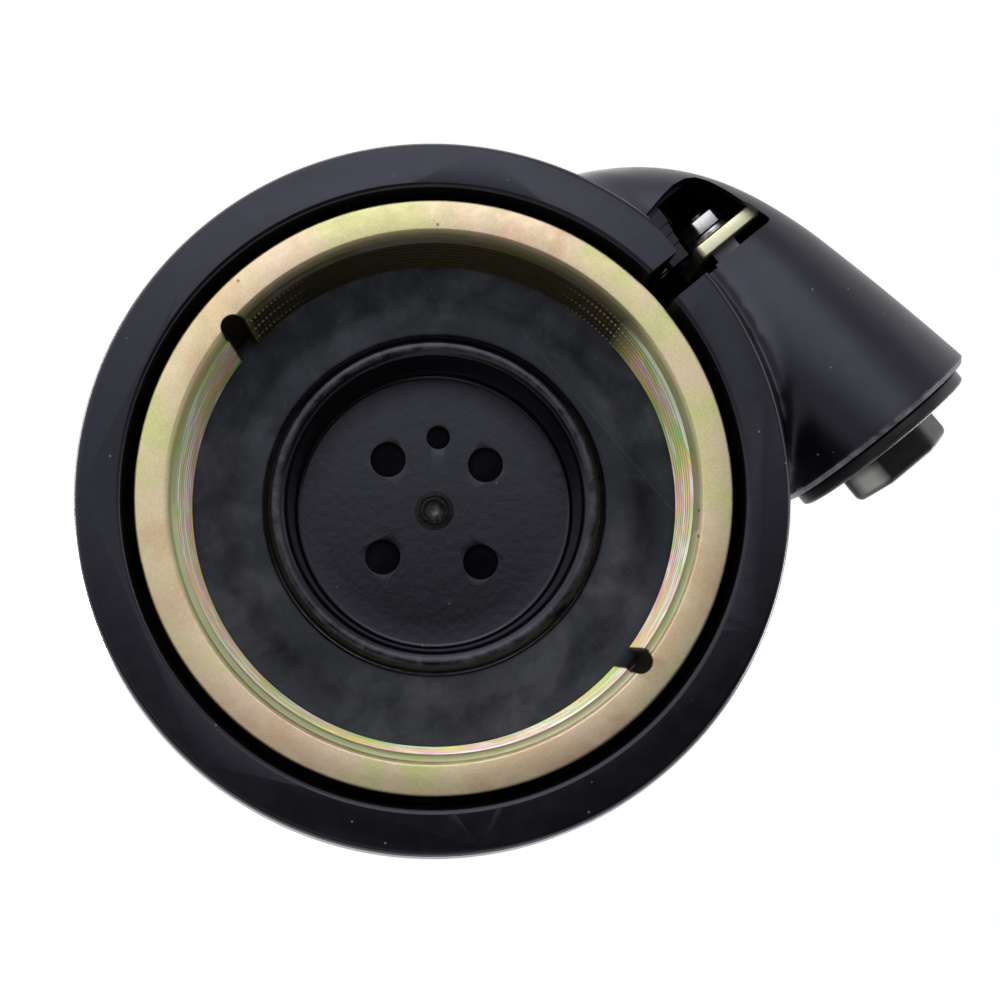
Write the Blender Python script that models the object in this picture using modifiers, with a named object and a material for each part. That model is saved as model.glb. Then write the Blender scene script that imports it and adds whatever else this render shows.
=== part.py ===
"""Locking filler cap for a hydraulic tank.

A threaded ring, seal and breather unit screws onto the tank neck. The cast shell idles round it until the
key turns the cam through the slot in the skirt, into a notch of the ring. Open rim at z = 0, crown up. The
lock lies along +Y beside the skirt, on the +X side.
"""

import math

import bmesh
import bpy

MM = 0.001
GAP = 0.3 * MM  # between faces that seat on each other
RUN = 0.6 * MM  # round the swept path of a moving piece
MERGE = 0.01 * MM
SPARE = 1.0 * MM  # how far a cutter passes the face that it opens
SMALL_EDGE = 0.4 * MM

ROUND_STEPS = 50
INNER_STEPS = 32
SMALL_STEPS = 18
LOCK_STEPS = 32
HOLE_STEPS = 16
SCREW_STEPS = 12

# Skirt and crown of the cast shell
RIM_INNER_RADIUS = 46.8 * MM
RIM_WALL = 6.2 * MM
RIM_OUTER_RADIUS = RIM_INNER_RADIUS + RIM_WALL
SKIRT_DRAFT = 1.8 * MM
SKIRT_RADIUS = RIM_OUTER_RADIUS + SKIRT_DRAFT
SKIRT_FULL_HEIGHT = 6.0 * MM  # where the draft of the skirt reaches its full radius
RIM_EDGE = 0.7 * MM
SHOULDER_HEIGHT = 36.0 * MM
SHOULDER_WIDTH = 12.0 * MM
DOME_RISE = 2.6 * MM
CROWN_HEIGHT = 54.0 * MM
CAVITY_STEP = 2.8 * MM  # in from the rim's inner radius
CAVITY_RADIUS = RIM_INNER_RADIUS - CAVITY_STEP
CAVITY_SHOULDER_DROP = 8.0 * MM
CAVITY_SHOULDER_WIDTH = 12.0 * MM

# Threaded ring
RING_CLEARANCE = 1.8 * MM  # to the rim round it
RING_RADIUS = RIM_INNER_RADIUS - RING_CLEARANCE
RING_RECESS = 0.8 * MM
RING_HEIGHT_SHARE = 0.35  # of the crown's height
RING_HEIGHT = CROWN_HEIGHT * RING_HEIGHT_SHARE
RING_WALL = 5.0 * MM
RING_FACE_MARGIN = 0.3 * MM  # from the thread's root to the flat face
RING_CHAMFER_HEIGHT = 2.2 * MM
RING_EDGE = 0.5 * MM
THREAD_DEPTH = 1.1 * MM
THREAD_MAJOR_RADIUS = RING_RADIUS - RING_WALL
THREAD_MINOR_RADIUS = THREAD_MAJOR_RADIUS - THREAD_DEPTH
RING_FACE_INNER_RADIUS = THREAD_MAJOR_RADIUS + RING_FACE_MARGIN
THREAD_PITCH = 2.0 * MM
SPANNER_NOTCH_RADIUS = 1.9 * MM
SPANNER_NOTCH_INSET = 0.4 * MM
SPANNER_NOTCH_PITCH_RADIUS = THREAD_MAJOR_RADIUS - SPANNER_NOTCH_INSET
SPANNER_NOTCH_ANGLE = 79.0
LOCK_NOTCH_COUNT = 12
LOCK_NOTCH_WIDTH = 5.0 * MM
LOCK_NOTCH_DEPTH = 2.2 * MM
LOCK_NOTCH_PLAY = 1.0 * MM  # under the turned tongue
LOCK_NOTCH_FLOOR_RADIUS = RING_RADIUS - LOCK_NOTCH_DEPTH

# Screws that hold the ring to the carrier
SCREW_COUNT = 6
SCREW_INSET = 2.4 * MM
SCREW_PITCH_RADIUS = RING_RADIUS - SCREW_INSET
SCREW_RADIUS = 1.5 * MM
SCREW_HEAD_RADIUS = 2.8 * MM
SCREW_HEAD_HEIGHT = 1.4 * MM
SCREW_LENGTH = 11.0 * MM
SCREW_SOCKET_RADIUS = 1.0 * MM
SCREW_SOCKET_DEPTH = 1.0 * MM

# Carrier, gasket and breather cup
CARRIER_CLEARANCE = 0.4 * MM
CARRIER_RADIUS = RIM_INNER_RADIUS - CARRIER_CLEARANCE
CARRIER_THICKNESS = 2.5 * MM
LIP_WIDTH = 3.6 * MM
LIP_INNER_RADIUS = RING_RADIUS - LIP_WIDTH
GASKET_THICKNESS = 3.0 * MM
GASKET_PLAY = 0.4 * MM
GASKET_OUTER_RADIUS = LIP_INNER_RADIUS - GASKET_PLAY
DRUM_SHARE = 0.5812  # of the rim's inner radius
DRUM_RADIUS = RIM_INNER_RADIUS * DRUM_SHARE
DRUM_WALL = 2.0 * MM
DRUM_EDGE = 1.6 * MM
DRUM_HEIGHT_SHARE = 0.3704  # of the crown's height, above the carrier's flange
DRUM_HEIGHT = CROWN_HEIGHT * DRUM_HEIGHT_SHARE
VENT_COUNT = 8
VENT_RADIUS = 2.0 * MM
VENT_INSET = 6.7 * MM
VENT_PITCH_RADIUS = DRUM_RADIUS - VENT_INSET
SHEET = 1.0 * MM
CUP_INSET = 4.6 * MM  # in from the drum
CUP_DISC_RADIUS = DRUM_RADIUS - CUP_INSET
CUP_DEPTH = 15.0 * MM  # from the bead's middle to the disc
CUP_CORNER = 1.4 * MM
BEAD_INSET = 1.7 * MM
BEAD_MIDDLE_RADIUS = DRUM_RADIUS - BEAD_INSET
BEAD_ROLL_RADIUS = 1.35 * MM
GASKET_INNER_RADIUS = BEAD_MIDDLE_RADIUS + BEAD_ROLL_RADIUS + SHEET / 2 + GAP
BREATHER_HOLE_RADIUS = 3.0 * MM
BREATHER_PITCH_RADIUS = 11.8 * MM
BREATHER_ANGLE = -2.5
BLEED_HOLE_RADIUS = 2.0 * MM
BLEED_PITCH_RADIUS = 12.6 * MM
BLEED_ANGLE = -47.4

# Centre post, sleeve, valve and filter
POST_RADIUS = 2.6 * MM
POST_FLARE_RADIUS = 3.3 * MM
POST_FLARE_HEIGHT = 0.9 * MM
POST_DIMPLE_RADIUS = 1.75 * MM
POST_DIMPLE_DEPTH = 3.0 * MM
JOURNAL_RADIUS = 4.0 * MM
JOURNAL_HEIGHT_SHARE = 0.0815  # of the crown's height
JOURNAL_HEIGHT = CROWN_HEIGHT * JOURNAL_HEIGHT_SHARE
WASHER_RADIUS = 9.0 * MM
WASHER_THICKNESS = 0.8 * MM
BUSH_WALL = 1.3 * MM
BOSS_RADIUS = 9.5 * MM
BOSS_DROP = 2.5 * MM  # below the ceiling
SLEEVE_WALL = 1.3 * MM
VALVE_SEAL_RADIUS = 16.0 * MM
VALVE_SEAL_THICKNESS = 1.0 * MM
VALVE_PLATE_RADIUS = 15.6 * MM
VALVE_PLATE_THICKNESS = 1.2 * MM
VALVE_HUB_RADIUS = 6.0 * MM
VALVE_HUB_HEIGHT = 1.6 * MM
SPRING_RADIUS = 8.6 * MM
SPRING_WIRE_RADIUS = 0.55 * MM
SPRING_TURNS = 3.5
SPRING_POINTS_PER_TURN = 14
FILTER_INNER_RADIUS = 17.2 * MM

# Ring that keeps the carrier in the shell
CLIP_THICKNESS = 1.4 * MM
CLIP_BITE = 1.5 * MM  # into the skirt
CLIP_RADIUS = RIM_INNER_RADIUS + CLIP_BITE
CLIP_GAP_WIDTH = 11.0 * MM

# Lock axis, cam and slot
LOCK_OFFSET = 8.4 * MM  # outside the skirt
LOCK_X = SKIRT_RADIUS + LOCK_OFFSET
LOCK_Z = 19.2 * MM
LOBE_END_Y = 36.5 * MM
LOBE_END_RADIUS = 18.6 * MM
CAM_MIDDLE_Y = -3.8 * MM
CAM_THICKNESS = 2.2 * MM
CAM_ENGAGEMENT = 1.2 * MM  # how deep the turned tongue stands in the ring's notch
CAM_REACH_RADIUS = RING_RADIUS - CAM_ENGAGEMENT
CAM_HUB_RADIUS = 4.4 * MM
CAM_TONGUE_HALF_WIDTH = 3.3 * MM
CAM_SHORT_REACH = 7.9 * MM
CAM_SHORT_LOW = 3.6 * MM
CAM_SHORT_HIGH = 2.6 * MM
CAM_CORNER = 1.5 * MM
SLOT_WIDTH = 5.4 * MM
SLOT_OFFSET = 1.2 * MM  # the slot's middle lies this far in front of the cam's
POCKET_BACK_Y = -14.4 * MM
POCKET_FRONT_Y = -0.6 * MM
POCKET_WALL = 1.3 * MM
POCKET_LAND = 0.8 * MM
POCKET_INNER_X = SKIRT_RADIUS + POCKET_LAND

# Lock barrel, rotor and its small pieces
BARREL_RADIUS = 9.1 * MM
BARREL_BACK_Y = 2.3 * MM
BARREL_FLANGE_RADIUS = 13.0 * MM
BARREL_FLANGE_BACK_Y = 30.6 * MM
BARREL_FRONT_Y = 35.9 * MM
BARREL_RECESS_RADIUS = 10.6 * MM
BARREL_RECESS_DEPTH = 3.1 * MM
BARREL_BACK_WALL = 2.0 * MM
BARREL_GROOVE_WALL = 1.8 * MM
BARREL_GROOVE_RADIUS = BARREL_RADIUS - BARREL_GROOVE_WALL
ROTOR_SHARE = 0.66  # of the barrel's radius
ROTOR_RADIUS = BARREL_RADIUS * ROTOR_SHARE
ROTOR_TAIL_RADIUS = 4.5 * MM
ROTOR_NECK_RADIUS = 2.7 * MM
TAIL_SQUARE = 4.6 * MM
TAIL_SQUARE_LEAD = 2.3 * MM  # the square's length in front of the cam
TAIL_STUB_RADIUS = 2.0 * MM
KEYWAY_WIDTH = 2.2 * MM
KEYWAY_HEIGHT = 8.0 * MM
WAFER_COUNT = 5
WAFER_PITCH = 3.6 * MM
WAFER_FIRST_Y = 11.0 * MM
WAFER_WIDTH = 7.4 * MM
WAFER_HEIGHT = 8.4 * MM
WAFER_THICKNESS = 1.0 * MM
ROTOR_CLIP_RADIUS = 5.0 * MM
ROTOR_CLIP_THICKNESS = 0.8 * MM
CAM_WASHER_RADIUS = 4.2 * MM
CAM_WASHER_THICKNESS = 0.8 * MM
CAM_NUT_ACROSS_FLATS = 7.0 * MM
CAM_NUT_HEIGHT = 2.4 * MM
GRUB_RADIUS = 2.0 * MM
GRUB_LENGTH = 9.0 * MM
GRUB_Y = 18.0 * MM
GRUB_SOCKET_RADIUS = 1.1 * MM
GRUB_SOCKET_DEPTH = 2.0 * MM
GRUB_BITE = 1.3 * MM  # its depth in the barrel

# Dust cover on the end of the lock
COVER_RADIUS = 16.2 * MM
COVER_THICKNESS = 2.3 * MM
COVER_EDGE = 0.5 * MM
SPIGOT_RADIUS = 10.2 * MM
SPIGOT_LENGTH = 3.4 * MM
GRIP_ACROSS_FLATS = 16.4 * MM
GRIP_HEIGHT = 5.2 * MM
GRIP_TURN = 7.8
COVER_SEAL_WIRE = 0.5 * MM

# Heights that follow from the sizes above
RING_DEEP_Z = RING_RECESS + RING_HEIGHT
LIP_LOW_Z = RING_DEEP_Z + GAP
GASKET_LOW_Z = RING_DEEP_Z + GAP
CARRIER_LOW_Z = GASKET_LOW_Z + GASKET_THICKNESS + GAP
FLANGE_TOP_Z = CARRIER_LOW_Z + CARRIER_THICKNESS
DRUM_TOP_Z = FLANGE_TOP_Z + DRUM_HEIGHT
DRUM_CEILING_Z = DRUM_TOP_Z - DRUM_WALL
BEAD_Z = GASKET_LOW_Z - GAP - SHEET / 4
CUP_DISC_Z = BEAD_Z + CUP_DEPTH
CUP_TOP_Z = CUP_DISC_Z + SHEET / 2
JOURNAL_LOW_Z = DRUM_TOP_Z + GAP
BOSS_LOW_Z = JOURNAL_LOW_Z + WASHER_THICKNESS + GAP
BUSH_BORE = JOURNAL_RADIUS + GAP
BOSS_BORE = BUSH_BORE + BUSH_WALL + GAP
BOSS_BORE_TOP_Z = JOURNAL_LOW_Z + JOURNAL_HEIGHT + GAP
CEILING_Z = BOSS_LOW_Z + BOSS_DROP
POST_BORE = POST_RADIUS + GAP
SLEEVE_RADIUS = POST_BORE + SLEEVE_WALL
VALVE_BORE = SLEEVE_RADIUS + GAP
VALVE_SEAL_Z = CUP_TOP_Z + GAP
VALVE_PLATE_Z = VALVE_SEAL_Z + VALVE_SEAL_THICKNESS + GAP
CLIP_LOW_Z = CARRIER_LOW_Z - GAP - CLIP_THICKNESS
LOCK_NOTCH_LOW_Z = LOCK_Z - CAM_TONGUE_HALF_WIDTH - LOCK_NOTCH_PLAY
NOTCH_ANGLE = math.degrees(math.asin(CAM_MIDDLE_Y / RING_RADIUS))
CAM_LENGTH = LOCK_X - CAM_REACH_RADIUS
CAM_SWEEP = CAM_LENGTH + RUN
SLOT_MIDDLE_Y = CAM_MIDDLE_Y + SLOT_OFFSET
CAM_FRONT_Y = CAM_MIDDLE_Y + CAM_THICKNESS / 2
CAM_BACK_Y = CAM_MIDDLE_Y - CAM_THICKNESS / 2
COVER_BACK_Y = LOBE_END_Y + GAP
ROTOR_FRONT_Y = BARREL_FRONT_Y - BARREL_RECESS_DEPTH - 2 * GAP

# Stations along the lobe: y, then from the lock's axis the outer x, inner x, low z and top z of the
# outline, and the x and z of its widest level
LOBE_STATIONS = (
    (-34.0, -21.9, -30.2, 5.8, 13.3, -24.7, 9.3),
    (-29.0, -11.0, -31.2, -1.2, 17.8, -18.2, 7.3),
    (-23.0, -2.0, -31.2, -5.6, 20.6, -11.2, 5.3),
    (-16.0, 4.2, -30.2, -8.4, 22.3, -5.2, 2.6),
    (-8.0, 8.6, -28.2, -10.0, 23.1, -1.2, 0.6),
    (2.0, 12.2, -25.2, -11.6, 22.8, 0.0, 0.0),
    (12.0, 14.4, -22.2, -14.0, 22.0, 0.0, 0.0),
    (24.0, 16.6, -19.6, -16.4, 20.4, 0.0, 0.0),
)

# Outer edge of the pocket's mouth: x from the lock's axis, and the share of the pocket's length
POCKET_MOUTH = ((1.2, 0.0), (3.4, 0.1), (5.6, 0.46), (6.6, 0.86), (6.8, 1.0))


def clear_scene():
    for item in list(bpy.data.objects):
        bpy.data.objects.remove(item)


def new_collection(name):
    collection = bpy.data.collections.new(name)
    bpy.context.scene.collection.children.link(collection)
    return collection


def finish_material(name, colour, roughness, metallic):
    material = bpy.data.materials.new(name)
    material.use_nodes = True
    shader = material.node_tree.nodes["Principled BSDF"]
    shader.inputs["Base Color"].default_value = (*colour, 1.0)
    shader.inputs["Roughness"].default_value = roughness
    shader.inputs["Metallic"].default_value = metallic
    return material


def add_object(name, mesh, material=None, collection=None):
    item = bpy.data.objects.new(name, mesh)
    (collection or PARTS).objects.link(item)
    if material:
        mesh.materials.append(material)
    return item


def as_cutter(item):
    for collection in list(item.users_collection):
        collection.objects.unlink(item)
    CUTTERS.objects.link(item)
    item.hide_render = True
    item.display_type = "WIRE"
    return item


def arc(centre_x, centre_y, radius_x, radius_y, start, end, steps):
    """Points of an ellipse's arc, from one angle to the other in degrees."""
    points = []
    for i in range(steps + 1):
        angle = math.radians(start + (end - start) * i / steps)
        points.append((centre_x + radius_x * math.cos(angle), centre_y + radius_y * math.sin(angle)))
    return points


def turned(name, profile, material=None, steps=INNER_STEPS, closed=True):
    """Turns (radius, height) points about Z. They run down the outer side of the solid."""
    mesh = bpy.data.meshes.new(name)
    edges = [(i, i + 1) for i in range(len(profile) - 1)]
    if closed:
        edges.append((len(profile) - 1, 0))
    mesh.from_pydata([(r, 0.0, z) for r, z in profile], edges, [])
    item = add_object(name, mesh, material)
    screw = item.modifiers.new("turn", "SCREW")
    screw.axis = "Z"
    screw.angle = math.tau
    screw.steps = steps
    screw.render_steps = steps
    screw.use_merge_vertices = True
    screw.merge_threshold = MERGE
    screw.use_smooth_shade = True
    return item


def tube(name, inner, outer, low, high, material=None, steps=INNER_STEPS):
    return turned(name, [(inner, high), (outer, high), (outer, low), (inner, low)], material, steps)


def cylinder(name, radius, low, high, centre=(0.0, 0.0), steps=SMALL_STEPS, top_radius=None):
    """A plain solid along Z, used alone or as a cutter."""
    mesh = bpy.data.meshes.new(name)
    shape = bmesh.new()
    top = radius if top_radius is None else top_radius
    bmesh.ops.create_cone(shape, cap_ends=True, segments=steps, radius1=radius, radius2=top, depth=high - low)
    bmesh.ops.translate(shape, vec=(centre[0], centre[1], (low + high) / 2), verts=shape.verts)
    shape.to_mesh(mesh)
    shape.free()
    return add_object(name, mesh)


def box(name, low, high):
    mesh = bpy.data.meshes.new(name)
    shape = bmesh.new()
    bmesh.ops.create_cube(shape, size=1.0)
    bmesh.ops.scale(shape, vec=[high[i] - low[i] for i in range(3)], verts=shape.verts)
    bmesh.ops.translate(shape, vec=[(high[i] + low[i]) / 2 for i in range(3)], verts=shape.verts)
    shape.to_mesh(mesh)
    shape.free()
    return add_object(name, mesh)


def outline(name, loops, thickness, material=None):
    """A flat plate in its own XY plane, its middle at z = 0. The first loop is its edge, others are holes."""
    curve = bpy.data.curves.new(name, "CURVE")
    curve.dimensions = "2D"
    curve.fill_mode = "BOTH"
    curve.extrude = thickness / 2
    for loop in loops:
        spline = curve.splines.new("POLY")
        spline.points.add(len(loop) - 1)
        for point, (x, y) in zip(spline.points, loop):
            point.co = (x, y, 0.0, 1.0)
        spline.use_cyclic_u = True
    item = bpy.data.objects.new(name, curve)
    PARTS.objects.link(item)
    if material:
        curve.materials.append(material)
    return item


def made_mesh(item):
    """Turns a curve object, or one with modifiers, into a plain mesh in world space."""
    bpy.context.view_layer.update()
    evaluated = item.evaluated_get(bpy.context.evaluated_depsgraph_get())
    mesh = bpy.data.meshes.new_from_object(evaluated)
    shape = bmesh.new()
    shape.from_mesh(mesh)
    bmesh.ops.remove_doubles(shape, verts=shape.verts, dist=MERGE)
    bmesh.ops.transform(shape, matrix=item.matrix_world, verts=shape.verts)
    shape.to_mesh(mesh)
    shape.free()
    name = item.name
    bpy.data.objects.remove(item)
    return add_object(name, mesh)


def joined(name, items):
    """One cutter made of the given solids, which don't touch."""
    mesh = bpy.data.meshes.new(name)
    shape = bmesh.new()
    for item in items:
        plain = made_mesh(item)
        shape.from_mesh(plain.data)
        bpy.data.objects.remove(plain)
    shape.to_mesh(mesh)
    shape.free()
    return add_object(name, mesh)


def boolean(item, cutter, operation="DIFFERENCE"):
    as_cutter(cutter)
    modifier = item.modifiers.new(cutter.name, "BOOLEAN")
    modifier.object = cutter
    modifier.operation = operation
    modifier.solver = "EXACT"


def circle(radius, steps=SMALL_STEPS, turn=0.0):
    """Corners of a regular polygon. Its first corner is at the turn, in degrees."""
    return arc(0.0, 0.0, radius, radius, turn, turn + 360.0 * (steps - 1) / steps, steps - 1)


def square(side):
    half = side / 2
    return [(-half, -half), (half, -half), (half, half), (-half, half)]


def around(radius, count, first):
    """(x, y) of evenly spaced places on a circle."""
    places = []
    for i in range(count):
        angle = math.radians(first + 360.0 * i / count)
        places.append((radius * math.cos(angle), radius * math.sin(angle)))
    return places


def along_lock(item, y=0.0):
    """Lays a piece that was made along Z onto the lock's axis, with its z as the row's y."""
    item.rotation_euler = (-math.pi / 2, 0.0, 0.0)
    item.location = (LOCK_X, y, LOCK_Z)
    return item


def across_lock(item, y):
    """Stands a flat plate at right angles to the lock's axis, with its own y as the row's z."""
    item.rotation_euler = (math.pi / 2, 0.0, 0.0)
    item.location = (LOCK_X, y, LOCK_Z)
    return item


def lobe_station(y):
    """Outer x, inner x, low z, top z and widest x and z of the lobe at y, on a smooth curve."""
    base = (0.0, LOCK_X, LOCK_X, LOCK_Z, LOCK_Z, LOCK_X, LOCK_Z)
    reach = LOBE_END_RADIUS
    rows = [[start + value * MM for start, value in zip(base, row)] for row in LOBE_STATIONS]
    rows.append([LOBE_END_Y, LOCK_X + reach, LOCK_X - reach, LOCK_Z - reach, LOCK_Z + reach, LOCK_X, LOCK_Z])
    at = max(i for i in range(len(rows) - 1) if rows[i][0] <= max(y, rows[0][0]) + MERGE)
    near = [rows[max(0, min(len(rows) - 1, at + k))] for k in (-1, 0, 1, 2)]
    t = (y - near[1][0]) / (near[2][0] - near[1][0])
    values = []
    for column in range(1, 7):
        a, b, c, d = (row[column] for row in near)
        slope_b = (c - a) / (near[2][0] - near[0][0] or 1.0) * (near[2][0] - near[1][0])
        slope_c = (d - b) / (near[3][0] - near[1][0] or 1.0) * (near[2][0] - near[1][0])
        value = (2 * t**3 - 3 * t**2 + 1) * b + (t**3 - 2 * t**2 + t) * slope_b
        value += (-2 * t**3 + 3 * t**2) * c + (t**3 - t**2) * slope_c
        values.append(value)
    return values


def lobe_section(y, wall=0.0, inner_x=None, steps=6):
    """The lobe's outline at y, of four quarter ellipses, drawn in by a wall."""
    outer, inner, low, top, mid_x, mid_z = lobe_station(y)
    inner = inner + wall if inner_x is None else inner_x
    outer -= wall
    low += wall
    top -= wall
    ring = []
    for start, half_x, half_z in ((0, outer - mid_x, top - mid_z), (90, mid_x - inner, top - mid_z),
                                  (180, mid_x - inner, mid_z - low), (270, outer - mid_x, mid_z - low)):
        quarter = arc(mid_x, mid_z, half_x, half_z, start, start + 90, steps)
        ring += [(x, y, z) for x, z in quarter[:-1]]
    return ring


def loft(name, rings):
    """A closed solid through rings with the same number of points, with a flat face at each end."""
    mesh = bpy.data.meshes.new(name)
    shape = bmesh.new()
    rows = [[shape.verts.new(point) for point in ring] for ring in rings]
    count = len(rows[0])
    for first, second in zip(rows, rows[1:]):
        for i in range(count):
            after = (i + 1) % count
            shape.faces.new((first[i], first[after], second[after], second[i]))
    shape.faces.new(reversed(rows[0]))
    shape.faces.new(rows[-1])
    bmesh.ops.recalc_face_normals(shape, faces=shape.faces)
    shape.to_mesh(mesh)
    shape.free()
    return add_object(name, mesh)


def spread(first, last, count):
    return [first + (last - first) * i / (count - 1) for i in range(count)]


def make_shell(paint):
    dome_radius = SKIRT_RADIUS - SHOULDER_WIDTH
    profile = []
    for radius in spread(0.0, dome_radius, 4)[:-1]:
        profile.append((radius, CROWN_HEIGHT - DOME_RISE * (radius / dome_radius) ** 2))
    shoulder_rise = CROWN_HEIGHT - DOME_RISE - SHOULDER_HEIGHT
    profile += arc(dome_radius, SHOULDER_HEIGHT, SHOULDER_WIDTH, shoulder_rise, 90, 0, 6)
    profile += [
        (SKIRT_RADIUS, SKIRT_FULL_HEIGHT),
        (RIM_OUTER_RADIUS + RIM_EDGE, RIM_EDGE),
        (RIM_OUTER_RADIUS, 0.0),
        (0.0, 0.0),
    ]
    shell = turned("cap_shell", profile, paint, ROUND_STEPS, closed=False)
    first_y = LOBE_STATIONS[0][0] * MM
    lobe = loft("lobe_form", [lobe_section(y) for y in spread(first_y, LOBE_END_Y, 13)])
    boolean(shell, lobe, "UNION")
    cut_cavity(shell)
    cut_pocket(shell)
    cut_lock_bore(shell)
    return shell


def cut_cavity(shell):
    mouth = RIM_INNER_RADIUS + RIM_EDGE
    groove = CLIP_RADIUS + GAP
    below = -2 * SPARE
    profile = [
        (0.0, BOSS_BORE_TOP_Z),
        (BOSS_BORE, BOSS_BORE_TOP_Z),
        (BOSS_BORE, BOSS_LOW_Z),
        (BOSS_RADIUS, BOSS_LOW_Z),
        (BOSS_RADIUS, CEILING_Z),
    ]
    profile += arc(CAVITY_RADIUS - CAVITY_SHOULDER_WIDTH, CEILING_Z - CAVITY_SHOULDER_DROP,
                   CAVITY_SHOULDER_WIDTH, CAVITY_SHOULDER_DROP, 90, 0, 5)
    profile += [
        (CAVITY_RADIUS, FLANGE_TOP_Z + GAP),
        (RIM_INNER_RADIUS, FLANGE_TOP_Z + GAP),
        (RIM_INNER_RADIUS, CARRIER_LOW_Z),
        (groove, CARRIER_LOW_Z),
        (groove, CLIP_LOW_Z - GAP),
        (RIM_INNER_RADIUS, CLIP_LOW_Z - GAP),
        (RIM_INNER_RADIUS, RIM_EDGE),
        (mouth, 0.0),
        (mouth, below),
        (0.0, below),
    ]
    boolean(shell, turned("cavity_cut", profile, steps=ROUND_STEPS, closed=False))


def cut_pocket(shell):
    """Opens the lobe from below for the cam, and the skirt for its tongue."""
    stations = spread(POCKET_BACK_Y, POCKET_FRONT_Y, 4)
    boolean(shell, loft("pocket_cut", [lobe_section(y, POCKET_WALL, POCKET_INNER_X) for y in stations]))
    below = -3 * SPARE
    window = [(POCKET_INNER_X, POCKET_FRONT_Y), (POCKET_INNER_X, POCKET_BACK_Y)]
    length = POCKET_FRONT_Y - POCKET_BACK_Y
    window += [(LOCK_X + x * MM, POCKET_BACK_Y + share * length) for x, share in POCKET_MOUTH]
    depth = LOCK_Z - below
    opening = outline("window_cut", [window], depth)
    opening.location.z = below + depth / 2
    boolean(shell, made_mesh(opening))
    tongue_front = CAM_TONGUE_HALF_WIDTH + RUN / 2
    lean = math.degrees(math.asin(tongue_front / CAM_SWEEP))
    sweep = arc(0.0, 0.0, CAM_SWEEP, CAM_SWEEP, 90 - lean, 180, 20)
    sweep += [
        (-CAM_SWEEP, below - LOCK_Z),
        (POCKET_INNER_X - LOCK_X + 2 * SPARE, below - LOCK_Z),
        (POCKET_INNER_X - LOCK_X + 2 * SPARE, -CAM_HUB_RADIUS - RUN),
        (tongue_front, -CAM_HUB_RADIUS - RUN),
    ]
    slot = across_lock(outline("slot_cut", [sweep], SLOT_WIDTH), SLOT_MIDDLE_Y)
    boolean(shell, made_mesh(slot))


def cut_lock_bore(shell):
    past = LOBE_END_Y + 2 * SPARE
    tail_hole = ROTOR_CLIP_RADIUS + RUN
    bore_back = BARREL_BACK_Y - GAP
    profile = [
        (0.0, past),
        (BARREL_FLANGE_RADIUS + GAP, past),
        (BARREL_FLANGE_RADIUS + GAP, BARREL_FLANGE_BACK_Y - GAP),
        (BARREL_RADIUS + GAP, BARREL_FLANGE_BACK_Y - GAP),
        (BARREL_RADIUS + GAP, bore_back),
        (tail_hole, bore_back),
        (tail_hole, CAM_FRONT_Y),
        (0.0, CAM_FRONT_Y),
    ]
    boolean(shell, along_lock(turned("lock_bore_cut", profile, steps=LOCK_STEPS, closed=False)))
    boolean(shell, grub_hole("shell_grub_cut"))


def grub_hole(name):
    low = LOCK_Z + BARREL_RADIUS - GRUB_BITE
    return cylinder(name, GRUB_RADIUS + GAP, low, CROWN_HEIGHT, (LOCK_X, GRUB_Y), HOLE_STEPS)


def make_ring(zinc):
    """The internally threaded ring, its face down."""
    low = RING_RECESS
    crest_count = int((RING_HEIGHT - RING_CHAMFER_HEIGHT) / THREAD_PITCH)
    thread = []
    for i in range(crest_count):
        height = low + RING_CHAMFER_HEIGHT + i * THREAD_PITCH
        thread.append((THREAD_MINOR_RADIUS, height))
        thread.append((THREAD_MAJOR_RADIUS, height + THREAD_PITCH / 2))
    profile = [
        (THREAD_MINOR_RADIUS, RING_DEEP_Z),
        (RING_RADIUS, RING_DEEP_Z),
        (RING_RADIUS, low + RING_EDGE),
        (RING_RADIUS - RING_EDGE, low),
        (RING_FACE_INNER_RADIUS, low),
    ] + thread
    ring = turned("threaded_ring", profile, zinc, ROUND_STEPS)
    top = RING_DEEP_Z + SPARE
    notches = [cylinder("spanner_notch", SPANNER_NOTCH_RADIUS, -SPARE, top, place, HOLE_STEPS)
               for place in around(SPANNER_NOTCH_PITCH_RADIUS, 2, SPANNER_NOTCH_ANGLE)]
    boolean(ring, joined("spanner_notch_cut", notches))
    boolean(ring, lock_notches("ring_notch_cut", LOCK_NOTCH_LOW_Z, top))
    hole_low = FLANGE_TOP_Z - SCREW_LENGTH - GAP
    holes = [cylinder("screw_hole", SCREW_RADIUS + GAP, hole_low, top, place, SCREW_STEPS)
             for place in screw_places()]
    boolean(ring, joined("ring_screw_cut", holes))
    return ring


def lock_notches(name, low, high):
    """Radial notches that take the cam's tongue, one at each place where the shell may be locked."""
    blocks = []
    reach = (LOCK_NOTCH_FLOOR_RADIUS, CARRIER_RADIUS + 2 * SPARE)
    for i in range(LOCK_NOTCH_COUNT):
        half = LOCK_NOTCH_WIDTH / 2
        block = box("notch", (reach[0], -half, low), (reach[1], half, high))
        block.rotation_euler.z = math.radians(NOTCH_ANGLE + 360.0 * i / LOCK_NOTCH_COUNT)
        blocks.append(block)
    return joined(name, blocks)


def screw_places():
    half_notch = 180.0 / LOCK_NOTCH_COUNT
    return around(SCREW_PITCH_RADIUS, SCREW_COUNT, NOTCH_ANGLE + half_notch)


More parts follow.
